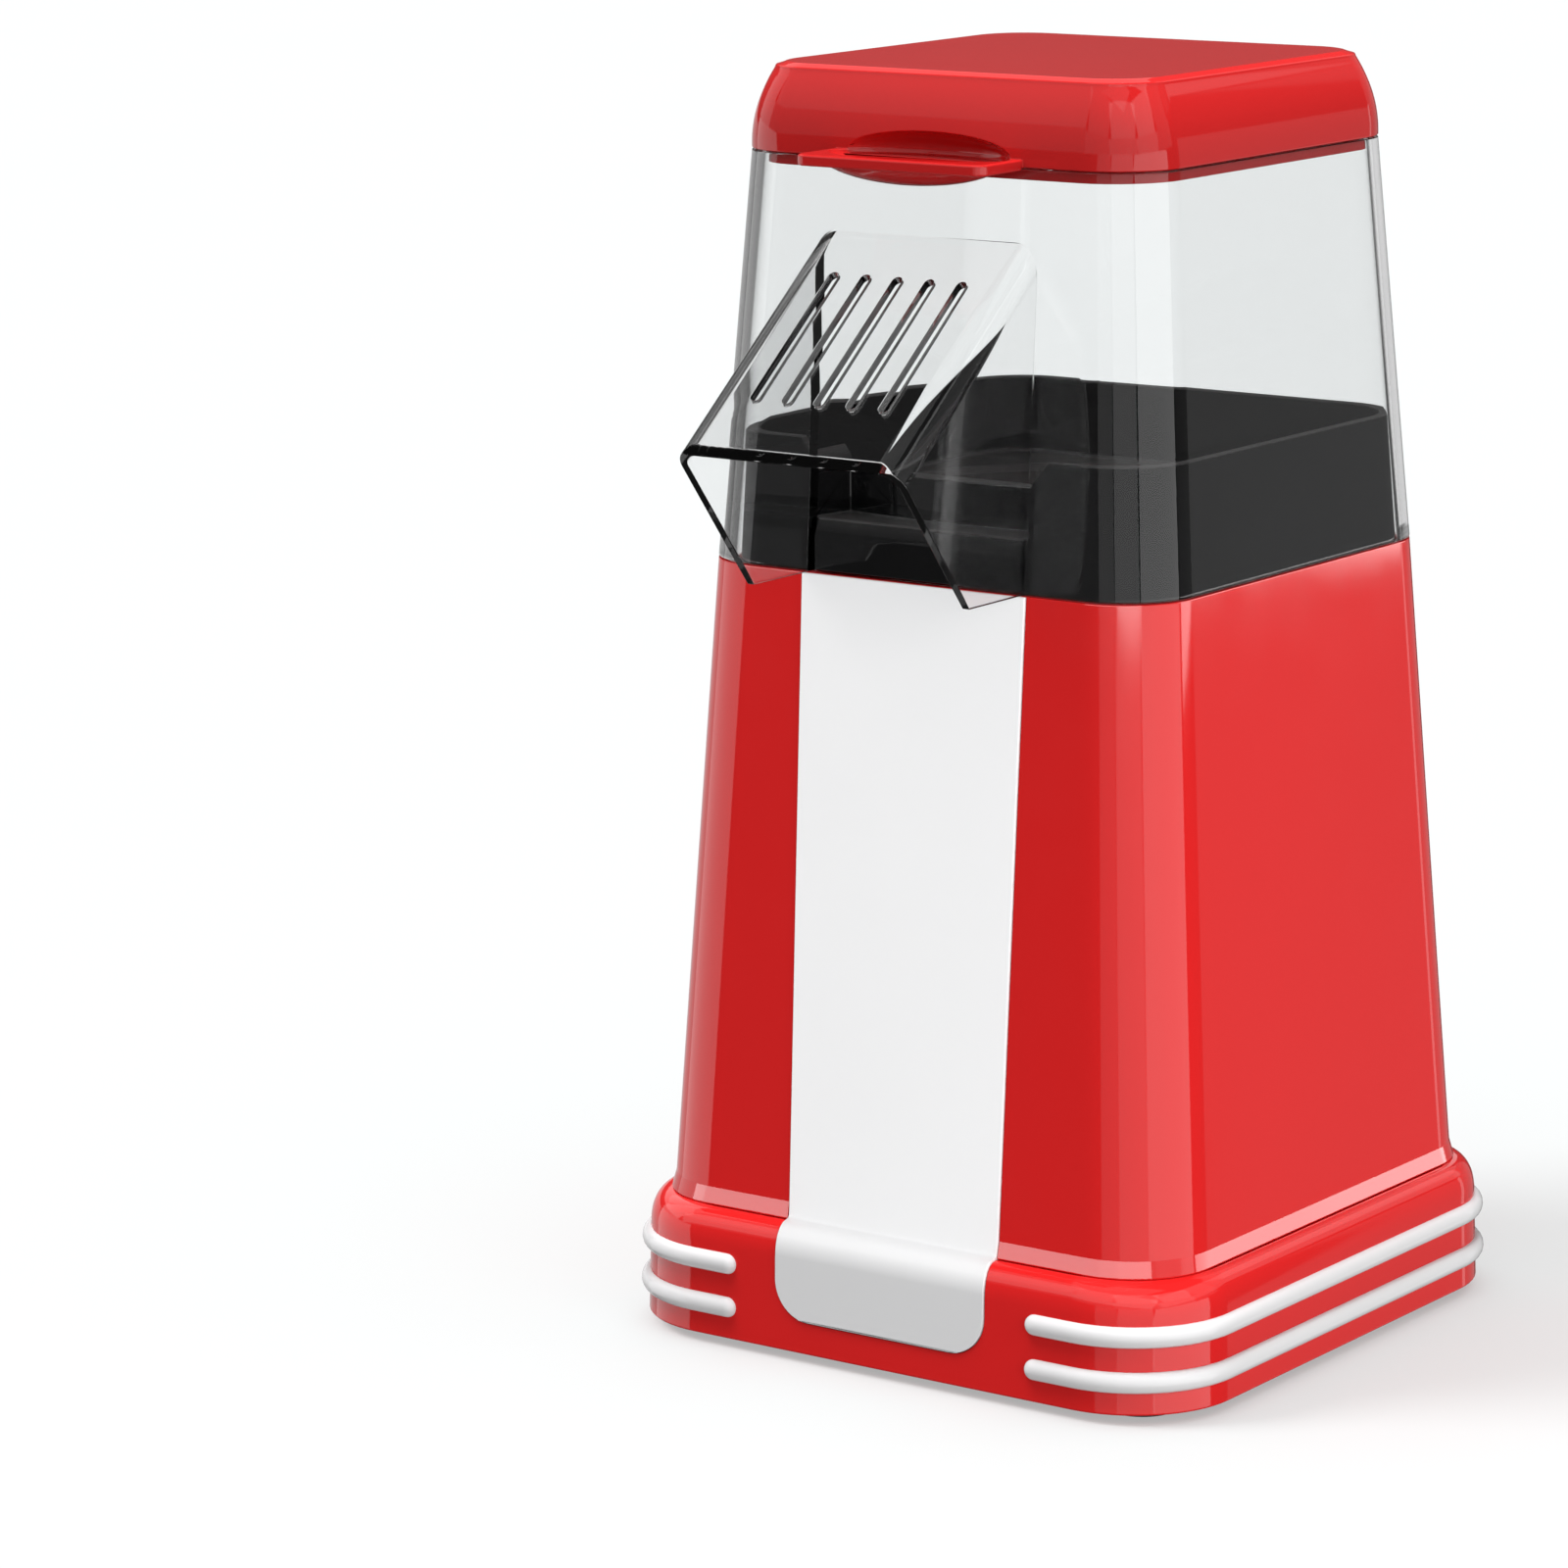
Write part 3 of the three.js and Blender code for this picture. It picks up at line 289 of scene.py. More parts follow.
class Finish:
    """A Principled material whose colour, roughness and relief come from noise."""

    def __init__(self, name, colour, roughness, **sockets):
        self.material = bpy.data.materials.new(name)
        self.material.use_nodes = True
        self.tree = self.material.node_tree
        self.shader = self.tree.nodes["Principled BSDF"]
        self.shader.inputs["Base Color"].default_value = colour
        self.shader.inputs["Roughness"].default_value = roughness
        for socket, value in sockets.items():
            self.shader.inputs[socket.replace("_", " ")].default_value = value
        self.colour, self.roughness = colour, roughness
        self.place = self.node("ShaderNodeTexCoord").outputs["Object"]

    def node(self, kind, **settings):
        made = self.tree.nodes.new(kind)
        for key, value in settings.items():
            setattr(made, key, value)
        return made

    def link(self, source, target):
        self.tree.links.new(source, target)

    def noise(self, scale, detail=3.0, stretch=None, rough=0.5):
        """Noise from 0 to 1 in object space; stretch scales it along each axis."""
        noise = self.node("ShaderNodeTexNoise")
        noise.inputs["Scale"].default_value = scale
        noise.inputs["Detail"].default_value = detail
        noise.inputs["Roughness"].default_value = rough
        source = self.place
        if stretch:
            mapping = self.node("ShaderNodeMapping")
            mapping.inputs["Scale"].default_value = stretch
            self.link(source, mapping.inputs["Vector"])
            source = mapping.outputs["Vector"]
        self.link(source, noise.inputs["Vector"])
        return noise.outputs["Fac"]

    def ranged(self, source, low, high, low_in=0.3, high_in=0.7):
        scale = self.node("ShaderNodeMapRange")
        scale.inputs["From Min"].default_value = low_in
        scale.inputs["From Max"].default_value = high_in
        scale.inputs["To Min"].default_value = low
        scale.inputs["To Max"].default_value = high
        self.link(source, scale.inputs["Value"])
        return scale.outputs["Result"]

    def mottle(self, source, spread=0.04):
        """Colour that wanders a little darker and lighter."""
        mix = self.node("ShaderNodeMix", data_type="RGBA")
        self.link(self.ranged(source, 0, 1), mix.inputs["Factor"])
        mix.inputs["A"].default_value = shaded(self.colour, 1 - spread)
        mix.inputs["B"].default_value = shaded(self.colour, 1 + spread)
        self.link(mix.outputs["Result"], self.shader.inputs["Base Color"])
        return self

    def two_tone(self, level, low, high, wander):
        """One colour turning into another with a level from 0 to 1, a little uneven."""
        mix = self.node("ShaderNodeMix", data_type="RGBA")
        self.link(level, mix.inputs["Factor"])
        mix.inputs["A"].default_value = low
        mix.inputs["B"].default_value = high
        vary = self.node("ShaderNodeVectorMath", operation="SCALE")
        self.link(mix.outputs["Result"], vary.inputs[0])
        self.link(wander, vary.inputs["Scale"])
        self.link(vary.outputs["Vector"], self.shader.inputs["Base Color"])
        return self

    def sheen_of(self, source, spread):
        """Roughness that wanders around the finish's own value."""
        low, high = self.roughness * (1 - spread), self.roughness * (1 + spread)
        self.link(self.ranged(source, low, high), self.shader.inputs["Roughness"])
        return self

    def relief(self, source, height, strength=1.0):
        bump = self.node("ShaderNodeBump")
        bump.inputs["Strength"].default_value = strength
        bump.inputs["Distance"].default_value = height
        self.link(source, bump.inputs["Height"])
        self.link(bump.outputs["Normal"], self.shader.inputs["Normal"])
        return self


RIPPLE = 0.006 * MM  # depth of the waves in a gloss moulding


def gloss_plastic(name, colour, roughness=0.06):
    made = Finish(name, colour, roughness, IOR=1.5)
    made.mottle(made.noise(9, 2), 0.012)
    made.sheen_of(made.noise(70, 4), 0.25)
    made.relief(made.noise(38, 1), RIPPLE)
    return made.material


def strip_plastic(name, colour, lower, roughness):
    """Gloss white that turns to a greyer white on the strip's apron, low on the plinth: partly a greyer
    tone, partly painted shade where less light falls.
    """
    made = Finish(name, colour, roughness, IOR=1.5)
    split = made.node("ShaderNodeSeparateXYZ")
    made.link(made.place, split.inputs["Vector"])
    # Darker below this height: partly a greyer white, partly painted shade for the dimmer light low on
    # the plinth.
    level = made.ranged(split.outputs["Z"], 0, 1, WALL_TOP_Z + 2 * MM, DECK_Z - 2.6 * MM)
    made.two_tone(level, lower, colour, made.ranged(made.noise(9, 2), 0.99, 1.01))
    made.sheen_of(made.noise(70, 4), 0.25)
    made.relief(made.noise(38, 1), RIPPLE)
    return made.material


def top_lit_plastic(name, colour, top_lit, roughness, upward_roughness):
    """Gloss whose upward faces, such as a rim and floors, are a rougher satin painted a lighter grey, a
    painted highlight of the light from above.
    """
    made = Finish(name, colour, roughness, IOR=1.5)
    facing = made.node("ShaderNodeSeparateXYZ")
    made.link(made.node("ShaderNodeNewGeometry").outputs["Normal"], facing.inputs["Vector"])
    upward = made.ranged(facing.outputs["Z"], 0, 1, 0.3, 0.8)
    # Upward faces turn a lighter grey: a painted highlight of the light from above.
    made.two_tone(upward, colour, top_lit, made.ranged(made.noise(45, 4), 0.8, 1.2))
    made.link(made.ranged(upward, roughness, upward_roughness, 0, 1), made.shader.inputs["Roughness"])
    made.relief(made.noise(38, 1), RIPPLE)
    return made.material


def grained_plastic(name, colour, roughness=0.45, grain=0.03 * MM):
    """Spark-eroded moulding grain."""
    made = Finish(name, colour, roughness)
    made.mottle(made.noise(60, 4), 0.12)
    made.sheen_of(made.noise(300, 3), 0.2)
    made.relief(made.noise(1600, 2), grain, 0.6)
    return made.material


def clear_plastic(name):
    """Polished clear plastic; lamps reach through it so that what it covers stays lit."""
    made = Finish(name, (0.97, 0.972, 0.973, 1), 0.0, IOR=1.49, Transmission_Weight=1.0)
    made.relief(made.noise(30, 1), 0.004 * MM)
    pass_through = made.node("ShaderNodeBsdfTransparent")
    pass_through.inputs["Color"].default_value = (0.93, 0.94, 0.945, 1)
    mix = made.node("ShaderNodeMixShader")
    made.link(made.node("ShaderNodeLightPath").outputs["Is Shadow Ray"], mix.inputs["Fac"])
    made.link(made.shader.outputs["BSDF"], mix.inputs[1])
    made.link(pass_through.outputs["BSDF"], mix.inputs[2])
    made.link(mix.outputs["Shader"], made.tree.nodes["Material Output"].inputs["Surface"])
    return made.material


def metal(name, colour, roughness, stretch=None, scale=120.0):
    made = Finish(name, colour, roughness, Metallic=1.0)
    grain = made.noise(scale, 5, stretch)
    made.mottle(grain, 0.06)
    made.sheen_of(grain, 0.35)
    made.relief(grain, 0.01 * MM, 0.5)
    return made.material


def fibrous(name, colour, roughness, scale=90.0):
    """Mica, phenolic and laminate: flecked and matt."""
    made = Finish(name, colour, roughness)
    made.mottle(made.noise(scale, 6, None, 0.7), 0.25)
    made.relief(made.noise(scale * 4, 4), 0.02 * MM, 0.6)
    return made.material


WALL_TOP_Z = BASE_Z + 20.9 * MM
RED = (0.56, 0.0115, 0.0115, 1.0)
LID_RED = (0.385, 0.0095, 0.0095, 1.0)
WHITE = (0.88, 0.88, 0.885, 1.0)
# the apron's greyer white: partly its own tone, partly painted shade for the dimmer light low on the
# plinth
APRON_SHADED_WHITE = (0.58, 0.58, 0.585, 1.0)
TRIM_WHITE = (0.58, 0.575, 0.58, 1.0)
BLACK = (0.003, 0.003, 0.0032, 1.0)
# a lighter grey painted on the collar's upward faces as a painted highlight of the light from above
TOP_LIT_BLACK = (0.05, 0.049, 0.049, 1.0)

MATERIALS = {
    "red_plastic": gloss_plastic("red_gloss", RED),
    "lid_plastic": gloss_plastic("lid_gloss", LID_RED),
    "white_plastic": strip_plastic("white_satin", WHITE, APRON_SHADED_WHITE, 0.16),
    "white_trim": gloss_plastic("white_gloss", TRIM_WHITE, 0.12),
    "black_plastic": grained_plastic("black_grained", linear(0x1C1C1D)),
    "collar_plastic": top_lit_plastic("black_gloss", BLACK, TOP_LIT_BLACK, 0.05, 0.3),
    "clear_plastic": clear_plastic("clear_polished"),
    "chamber_aluminium": metal("spun_aluminium", linear(0xC9CCCF), 0.28, (1, 1, 14)),
    "sheet_steel": metal("zinc_sheet", linear(0xA6A9AD), 0.38, None, 45),
    "heat_resin": fibrous("dark_phenolic", linear(0x3A342E), 0.5),
    "mica": fibrous("mica_board", linear(0xB9A988), 0.45, 260),
    "heating_wire": metal("oxidised_wire", linear(0x6E6962), 0.5, None, 400),
    "natural_nylon": grained_plastic("natural_nylon", linear(0xE6DFC9), 0.4, 0.01 * MM),
    "ground_steel": metal("ground_steel", linear(0xC2C4C8), 0.22, (1, 1, 30)),
    "motor_steel": metal("nickel_plate", linear(0xB4B3AE), 0.25, (1, 1, 20)),
    "circuit_board": fibrous("green_board", linear(0x1E5A33), 0.35, 150),
    "thermostat_steel": metal("plated_steel", linear(0xBDBDBD), 0.3),
    "rocker_plastic": gloss_plastic("rocker_gloss", linear(0x101010), 0.14),
    "gland_rubber": grained_plastic("gland_rubber", linear(0x171717), 0.6, 0.02 * MM),
    "foot_rubber": grained_plastic("foot_rubber", linear(0x1A1A1A), 0.75, 0.04 * MM),
    "screw_steel": metal("zinc_screw", linear(0xB7B9BC), 0.32, None, 300),
    "diode_epoxy": grained_plastic("diode_epoxy", linear(0x131313), 0.5, 0.01 * MM),
}


def give(obj, slot):
    obj.data.materials.clear()
    obj.data.materials.append(MATERIALS[slot])


def place_piece(obj, slot, body, *nodes):
    """Dresses a piece, hangs it on its body and lets it stand for its CAD nodes."""
    give(obj, slot)
    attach(obj, body)
    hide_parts(*nodes)
    return obj


# ---------- plinth ----------
SHOULDER_HALF = BASE_HALF - 5.4 * MM
PLINTH_LEAN = 0.5 * MM


def plinth_wall(z):
    """Outer half width of the plinth's wall, which leans in a little."""
    return BASE_HALF - PLINTH_LEAN * (z - BASE_Z) / (WALL_TOP_Z - BASE_Z)


def shoulder_profile():
    """The plinth's shoulder, a quarter of a superellipse from its wall to the tower's foot."""
    reach = plinth_wall(WALL_TOP_Z) - SHOULDER_HALF
    rise = DECK_Z - WALL_TOP_Z
    squareness = 2 / 2.35
    profile = []
    steps = 22
    for i in range(steps + 1):
        angle = math.radians(90 * i / steps)
        out = math.cos(angle) ** squareness if i < steps else 0.0
        profile.append((SHOULDER_HALF + reach * out, WALL_TOP_Z + rise * math.sin(angle) ** squareness))
    return profile


def make_plinth():
    rounding = 0.6 * MM
    outer = arc(BASE_HALF - rounding, BASE_Z + rounding, rounding, -90, 0, 4) + shoulder_profile()
    crevice = DECK_Z - 0.5 * MM
    inner = [
        (DECK_HALF - 0.4 * MM, crevice, TOWER_CORNER),
        (DECK_HALF - 3.2 * MM, crevice, TOWER_CORNER),
        (DECK_HALF - 3.2 * MM, DECK_Z - 3 * MM, TOWER_CORNER),
        (SHOULDER_HALF - 0.2 * MM, DECK_Z - 3 * MM, BASE_CORNER),
        (BASE_HALF - PLINTH_LEAN - WALL, WALL_TOP_Z, BASE_CORNER),
        (BASE_HALF - WALL, BASE_Z, BASE_CORNER),
    ]
    rings = [square_ring(half, BASE_CORNER * half, z) for half, z in outer]
    rings += [square_ring(half, share * half, z) for half, z, share in inner]
    return piece("plinth_shell", *skin_over(rings, True))


# ---------- tower ----------
FOOT_PROUD = 0.6 * MM  # how far the chamfered foot stands out
FOOT_CHAMFER = (0.5 * MM, 4.2 * MM)  # its lower and upper edge above the tower's foot


def make_tower():
    rounding = 0.5 * MM
    foot = half_at(FOOT_Z + FOOT_CHAMFER[0]) + FOOT_PROUD
    outer = [(foot - 1.2 * MM, FOOT_Z)]
    outer += arc(foot - rounding, FOOT_Z + rounding, rounding, -90, 0, 4)
    chamfer_top = FOOT_Z + FOOT_CHAMFER[1]
    outer.append((half_at(chamfer_top), chamfer_top))
    top_round = 0.25 * MM
    top_half = half_at(SEAM_LOW_Z)
    outer += arc(top_half - top_round, SEAM_LOW_Z - top_round, top_round, 0, 90, 3)
    inner = [(top_half - WALL, SEAM_LOW_Z), (DECK_HALF - WALL, FOOT_Z)]
    return loft("tower_shell", outer + inner, closed=True)


# ---------- front strip ----------
STRIP_PROUD = 0.5 * MM
STRIP_CORNER = 9.5 * MM
STRIP_FOOT_HALF = 29.3 * MM
STRIP_TOP_HALF = STRIP_HIGH.x


def strip_half(z, margin):
    """Half width of the strip at a height, with its rounded lower corners."""
    low = STRIP_LOW.z - margin
    radius = STRIP_CORNER + margin
    share = max(0.0, (z - DECK_Z) / (SEAM_LOW_Z - DECK_Z))
    half = STRIP_FOOT_HALF + margin + (STRIP_TOP_HALF - STRIP_FOOT_HALF) * share
    if z < low + radius:
        drop = low + radius - z
        half -= radius - math.sqrt(max(0.0, radius**2 - drop**2))
    return half


def strip_path(margin):
    """The front's side profile from the strip's lower end to its top, as (half, z)."""
    low = STRIP_LOW.z - margin
    radius = STRIP_CORNER + margin
    path = []
    for i in range(15):
        z = low + radius * (1 - math.cos(math.radians(90 * i / 14)))
        path.append((plinth_wall(z), z))
    path += shoulder_profile()[:-4]
    # A small fillet turns the strip from the shoulder up onto the tower.
    fillet = 1.5 * MM
    for angle in (10, 25, 40, 55, 70, 85):
        turn = math.radians(angle)
        half = DECK_HALF + fillet * (1 - math.sin(turn))
        path.append((half, DECK_Z + fillet * (1 - math.cos(turn))))
    path += [(half_at(z), z) for z in (DECK_Z + 3 * MM, SEAM_LOW_Z - 0.1 * MM)]
    return path


def strip_sheet(name, margin, outside, inside):
    """The strip as a closed sheet between two offsets from the front's own face."""
    path = strip_path(margin)
    rows = []
    for i, (half, z) in enumerate(path):
        low, high = path[max(i - 1, 0)], path[min(i + 1, len(path) - 1)]
        run = Vector((0, -(high[0] - low[0]), high[1] - low[1])).normalized()
        normal = Vector((0, -run.z, run.y))
        width = max(strip_half(z, margin), STRIP_FOOT_HALF - STRIP_CORNER)
        if i == 0:
            width = STRIP_FOOT_HALF - STRIP_CORNER
        rows.append((Vector((0, AXIS_Y - half, z)), normal, width))
    rings = []
    for foot, normal, width in rows:
        ring = []
        for offset, sign in ((outside, -1), (outside, 1), (inside, 1), (inside, -1)):
            point = foot + normal * offset
            ring.append((sign * width, point.y, point.z))
        rings.append(ring)
    return piece(name, *skin_over(rings, False))


# ---------- ribs ----------
def rib_path(z, side, end_x):
    """Points along one side of the plinth, from the front round to the rear, with normals."""
    half = plinth_wall(z)
    corner = BASE_CORNER * half
    centre = half - corner
    path = []
    for x in (end_x, (end_x + centre) / 2):
        path.append((Vector((side * x, -half, 0)), Vector((0, -1, 0))))
    for i in range(CORNER_STEPS + 1):
        a = math.radians(-90 + 90 * i / CORNER_STEPS)
        out = Vector((side * math.cos(a), math.sin(a), 0))
        path.append((Vector((side * centre, -centre, 0)) + corner * out, out))
    middle = len(path)
    for i in range(middle):
        point, out = path[middle - 1 - i]
        path.append((Vector((point.x, -point.y, 0)), Vector((out.x, -out.y, 0))))
    return path


def make_rib(name, node, side):
    low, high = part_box(node)
    z = (low.z + high.z) / 2
    half_height = (high.z - low.z) / 2
    end_x = min(abs(low.x), abs(high.x)) + half_height
    proud = 2 * MM
    path = rib_path(z, side, end_x)
    # Round ends: the first and last section shrink as a dome does.
    dome = 6
    first, last = path[0], path[-1]
    head, tail = [], []
    for i in range(dome, 0, -1):
        angle = math.radians(90 * i / dome)
        shift = Vector((-side * half_height * math.sin(angle), 0, 0))
        head.append((first[0] + shift, first[1], math.cos(angle)))
        tail.insert(0, (last[0] + shift, last[1], math.cos(angle)))
    stations = head + [(p, n, 1.0) for p, n in path] + tail
    section = [(proud * a, half_height * b) for a, b in arc(0, 0, 1, -90, 90, 14)]
    section += [(-0.6 * MM, half_height), (-0.6 * MM, -half_height)]
    rings = []
    for point, out, scale in stations:
        scale = max(scale, 0.02)
        centre = Vector((0, AXIS_Y, z)) + point
        rings.append([centre + scale * (out * a + Vector((0, 0, b))) for a, b in section])
    return piece(name, *skin_over(rings, False))


# ---------- black collar ----------
CHUTE_HALF = 29.3 * MM
CHUTE_BACK_Y = -46.5 * MM
CHUTE_SILL_Z = COLLAR_HIGH.z - 8 * MM
LIP_FACE_Y = 0.4 * MM - SEAM_HALF
COLLAR_DECK_Z = COLLAR_HIGH.z - 19 * MM
BORE_RADIUS = 42 * MM
UNDER_COLLAR_Z, OVER_COLLAR_Z = 150 * MM, 250 * MM  # the cutters' ends


def collar_half(z):
    low, high = COLLAR_HIGH.x, half_at(COLLAR_HIGH.z) - CLEAR_WALL - GAP
    return low + (high - low) * (z - COLLAR_LOW.z) / (COLLAR_HIGH.z - COLLAR_LOW.z)


def make_collar():
    low, top, deck = COLLAR_LOW.z, COLLAR_HIGH.z, COLLAR_DECK_Z
    bay_x = (-CHUTE_HALF - WALL, CHUTE_HALF + WALL)
    bay_y = (-80 * MM, CHUTE_BACK_Y + 2.2 * MM)
    rim = 0.5 * MM
    outer = loft(
        "popping_collar_shell",
        [(collar_half(low), low), (collar_half(top - rim), top - rim)]
        + arc(collar_half(top) - rim, top - rim, rim, 15, 90, 3),
    )
    basin = loft(
        "basin",
        [
            (collar_half(deck) - WALL - 1.6 * MM, deck),
            (collar_half(deck) - WALL - 0.5 * MM, deck + 0.5 * MM),
            (collar_half(deck + 1.6 * MM) - WALL, deck + 1.6 * MM),
            (collar_half(top) - WALL, top),
            (collar_half(top) - WALL, top + MM),
        ],
    )
    carve(basin, box("block", bay_x, bay_y, (UNDER_COLLAR_Z, OVER_COLLAR_Z)))
    funnel = turned(
        "funnel",
        [
            (0, low - MM),
            (BORE_RADIUS, low - MM),
            (BORE_RADIUS, low + 5.8 * MM),
            (BORE_RADIUS + 0.5 * MM, low + 7 * MM),
            (BORE_RADIUS + 12.6 * MM, deck - 0.6 * MM),
            (BORE_RADIUS + 14.2 * MM, deck + 0.6 * MM),
            (0, deck + 0.6 * MM),
        ],
    )
    carve(funnel, box("block", bay_x, bay_y, (SEAM_LOW_Z, OVER_COLLAR_Z)))
    pocket = loft("pocket", [(collar_half(z) - WALL, z) for z in (low - MM, deck - WALL)])
    underside = turned(
        "underside",
        [
            (0, UNDER_COLLAR_Z),
            (BORE_RADIUS + WALL, UNDER_COLLAR_Z),
            (BORE_RADIUS + WALL, low + 5 * MM),
            (BORE_RADIUS + 20 * MM, deck + 1.8 * MM),
            (0, deck + 1.8 * MM),
        ],
    )
    carve(pocket, underside)
    lip_x = CHUTE_HALF - 1.4 * MM
    lip_top = COLLAR_LOW.z + 22 * MM
    lip = box("lip", (-lip_x, lip_x), (LIP_FACE_Y, -58 * MM), (SEAM_HIGH_Z + GAP / 2, lip_top))
    fuse(outer, lip)
    carve(outer, basin, funnel, pocket, make_chute(), make_sill())
    return soften(outer, 0.6 * MM, 3, 40)


def make_chute():
    """The open bay in the collar's front, over a low wall whose top edge slopes outwards."""
    bow = 3.5 * MM
    back = []
    steps = 16
    for i in range(steps + 1):
        share = 1 - 2 * i / steps
        back.append((share * CHUTE_HALF, CHUTE_BACK_Y - bow * (1 - share**2)))
    outline = [(-CHUTE_HALF, -75 * MM), (CHUTE_HALF, -75 * MM), *back]
    bay = prism("bay", outline, lambda a, b: (a, AXIS_Y + b, 0), 180 * MM, 230 * MM, (0, 0, 1))
    edge_low, edge_top = SEAM_HIGH_Z + 8.45 * MM, SEAM_HIGH_Z + 12.45 * MM
    floor = side_prism(
        "floor",
        [
            (-40 * MM, UNDER_COLLAR_Z),
            (-40 * MM, COLLAR_DECK_Z - 0.2 * MM),
            (CHUTE_BACK_Y, COLLAR_DECK_Z + 0.7 * MM),
            (LIP_FACE_Y + 3.2 * MM, edge_top - 0.3 * MM),
            (LIP_FACE_Y + 2.4 * MM, edge_top),
            (LIP_FACE_Y + 1.6 * MM, edge_top - 0.5 * MM),
            (LIP_FACE_Y + 0.5 * MM, edge_low + 1.2 * MM),
            (LIP_FACE_Y, edge_low - 0.6 * MM),
            (LIP_FACE_Y - 20 * MM, edge_low - 0.6 * MM),
            (LIP_FACE_Y - 20 * MM, UNDER_COLLAR_Z),
        ],
        40 * MM,
    )
    return carve(bay, floor)


def make_sill():
    """The low sill between basin and chute, with slanting steps up to the rim."""
    step = CHUTE_SILL_Z + 2.4 * MM
    right = [
        (CHUTE_HALF, CHUTE_SILL_Z),
        (CHUTE_HALF + 0.6 * MM, step),
        (CHUTE_HALF + 5.2 * MM, COLLAR_HIGH.z + 0.5 * MM),
    ]
    outline = right + [(-a, b) for a, b in reversed(right)]
    return prism("sill", outline, lambda a, b: (a, AXIS_Y, b), -75 * MM, -40 * MM, (0, 1, 0))


# ---------- clear cover ----------
SPOUT_HALF = 30.5 * MM
SPOUT_CORNER = 6 * MM
LIP_Y, LIP_Z = -111.8 * MM, SEAM_HIGH_Z + 36.05 * MM
SPOUT_SLOPE = math.atan(0.787)
SLOT_PITCH = 8.7 * MM
SLOT_HALF = 1.25 * MM


def on_roof(x, along, up):
    """A point from the lip, along the spout's roof and square to it."""
    y = AXIS_Y + LIP_Y + along * math.cos(SPOUT_SLOPE) - up * math.sin(SPOUT_SLOPE)
    return Vector((x, y, LIP_Z + along * math.sin(SPOUT_SLOPE) + up * math.cos(SPOUT_SLOPE)))


def roof_prism(name, outline, start, end):
    """An (x, up) outline run along the roof."""
    rings = [[on_roof(a, along, b) for a, b in outline] for along in (start, end)]
    return piece(name, *skin_over(rings, False))


def arch_outline(half, radius, drop):
    depth = -90 * MM
    outline = [(-half, depth), (half, depth)]
    outline += arc(half - radius, -drop - radius, radius, 0, 90, 12)
    outline += arc(-half + radius, -drop - radius, radius, 90, 180, 12)
    return outline


def make_slot(index):
    """A round-ended slot square to the roof."""
    start, end = ((y * MM - LIP_Y) / math.cos(SPOUT_SLOPE) for y in (-99.6, -69.4))
    x = index * SLOT_PITCH
    outline = [(x + a, end + b) for a, b in arc(0, 0, SLOT_HALF, 0, 180, 10)]
    outline += [(x + a, start + b) for a, b in arc(0, 0, SLOT_HALF, 180, 360, 10)]
    rings = [[on_roof(a, b, up) for a, b in outline] for up in (-6 * MM, 6 * MM)]
    return piece("slot", *skin_over(rings, False))


def make_cover():
    low, top = SEAM_HIGH_Z, NECK_LOW_Z
    edge = 0.3 * MM
    outer = arc(half_at(low) - edge, low + edge, edge, -90, 0, 3)
    outer += arc(half_at(top) - edge, top - edge, edge, 0, 90, 3)
    cover = loft("clear_cover_shell", outer)
    arch = roof_prism("arch", arch_outline(SPOUT_HALF, SPOUT_CORNER, 0), -60 * MM, 95 * MM)
    cheeks = side_prism(
        "cheeks",
        [
            (-40 * MM, low),
            (-85.5 * MM, low),
            (-94.4 * MM, low + 11.05 * MM),
            (-112.4 * MM, LIP_Z - 2.6 * MM),
            (LIP_Y, LIP_Z + MM),
            (LIP_Y, NECK_LOW_Z + 10 * MM),
            (-40 * MM, NECK_LOW_Z + 10 * MM),
        ],
        40 * MM,
    )
    combine(arch, cheeks, "INTERSECT")
    carve(arch, box("rear", (-40 * MM, 40 * MM), (-40 * MM, 100 * MM), (SEAM_LOW_Z - 80 * MM, TOP_Z)))
    fuse(cover, arch)
    hollow = loft(
        "hollow",
        [(half_at(low - MM) - CLEAR_WALL, low - MM), (half_at(top + MM) - CLEAR_WALL, top + MM)],
    )
    mouth_outline = arch_outline(SPOUT_HALF - CLEAR_WALL, SPOUT_CORNER - CLEAR_WALL, CLEAR_WALL)
    mouth = roof_prism("mouth", mouth_outline, -60 * MM, 95 * MM)
    carve(cover, hollow, mouth, *[make_slot(i) for i in range(-2, 3)])
    return soften(cover, 0.22 * MM, 2, 40)


# ---------- lid ----------
LID_SHOULDER_Z = TOP_Z - 1.6 * MM
LID_ROUNDING = 5.6 * MM
PLATE_TOP_Z = TOP_Z - 18 * MM
PLATE_LOW_Z = TOP_Z - 20.6 * MM
PLATE_FOOT_Z = TOP_Z - 30 * MM  # the plate clears the cover's face down to here
UNDER_LID_Z = TOP_Z - 50 * MM  # the cutters' lower end


def lid_loft(name, profile):
    """A loft whose corners tighten towards the lid's top."""
    rings = []
    for half, z in profile:
        share = TOWER_CORNER - 0.04 * (z - NECK_LOW_Z) / (TOP_Z - NECK_LOW_Z)
        rings.append(square_ring(half, share * half, z))
    return piece(name, *skin_over(rings, False))


def lid_profile():
    height = TOP_Z - NECK_LOW_Z
    edge = 0.35 * MM
    profile = arc(NECK_HALF - edge, NECK_HIGH_Z + edge, edge, -90, 0, 3)
    steps = 18
    for i in range(1, steps + 1):
        z = NECK_HIGH_Z + edge + (LID_SHOULDER_Z - NECK_HIGH_Z - edge) * i / steps
        profile.append((NECK_HALF - LID_ROUNDING * ((z - NECK_LOW_Z) / height) ** 2, z))
    return profile


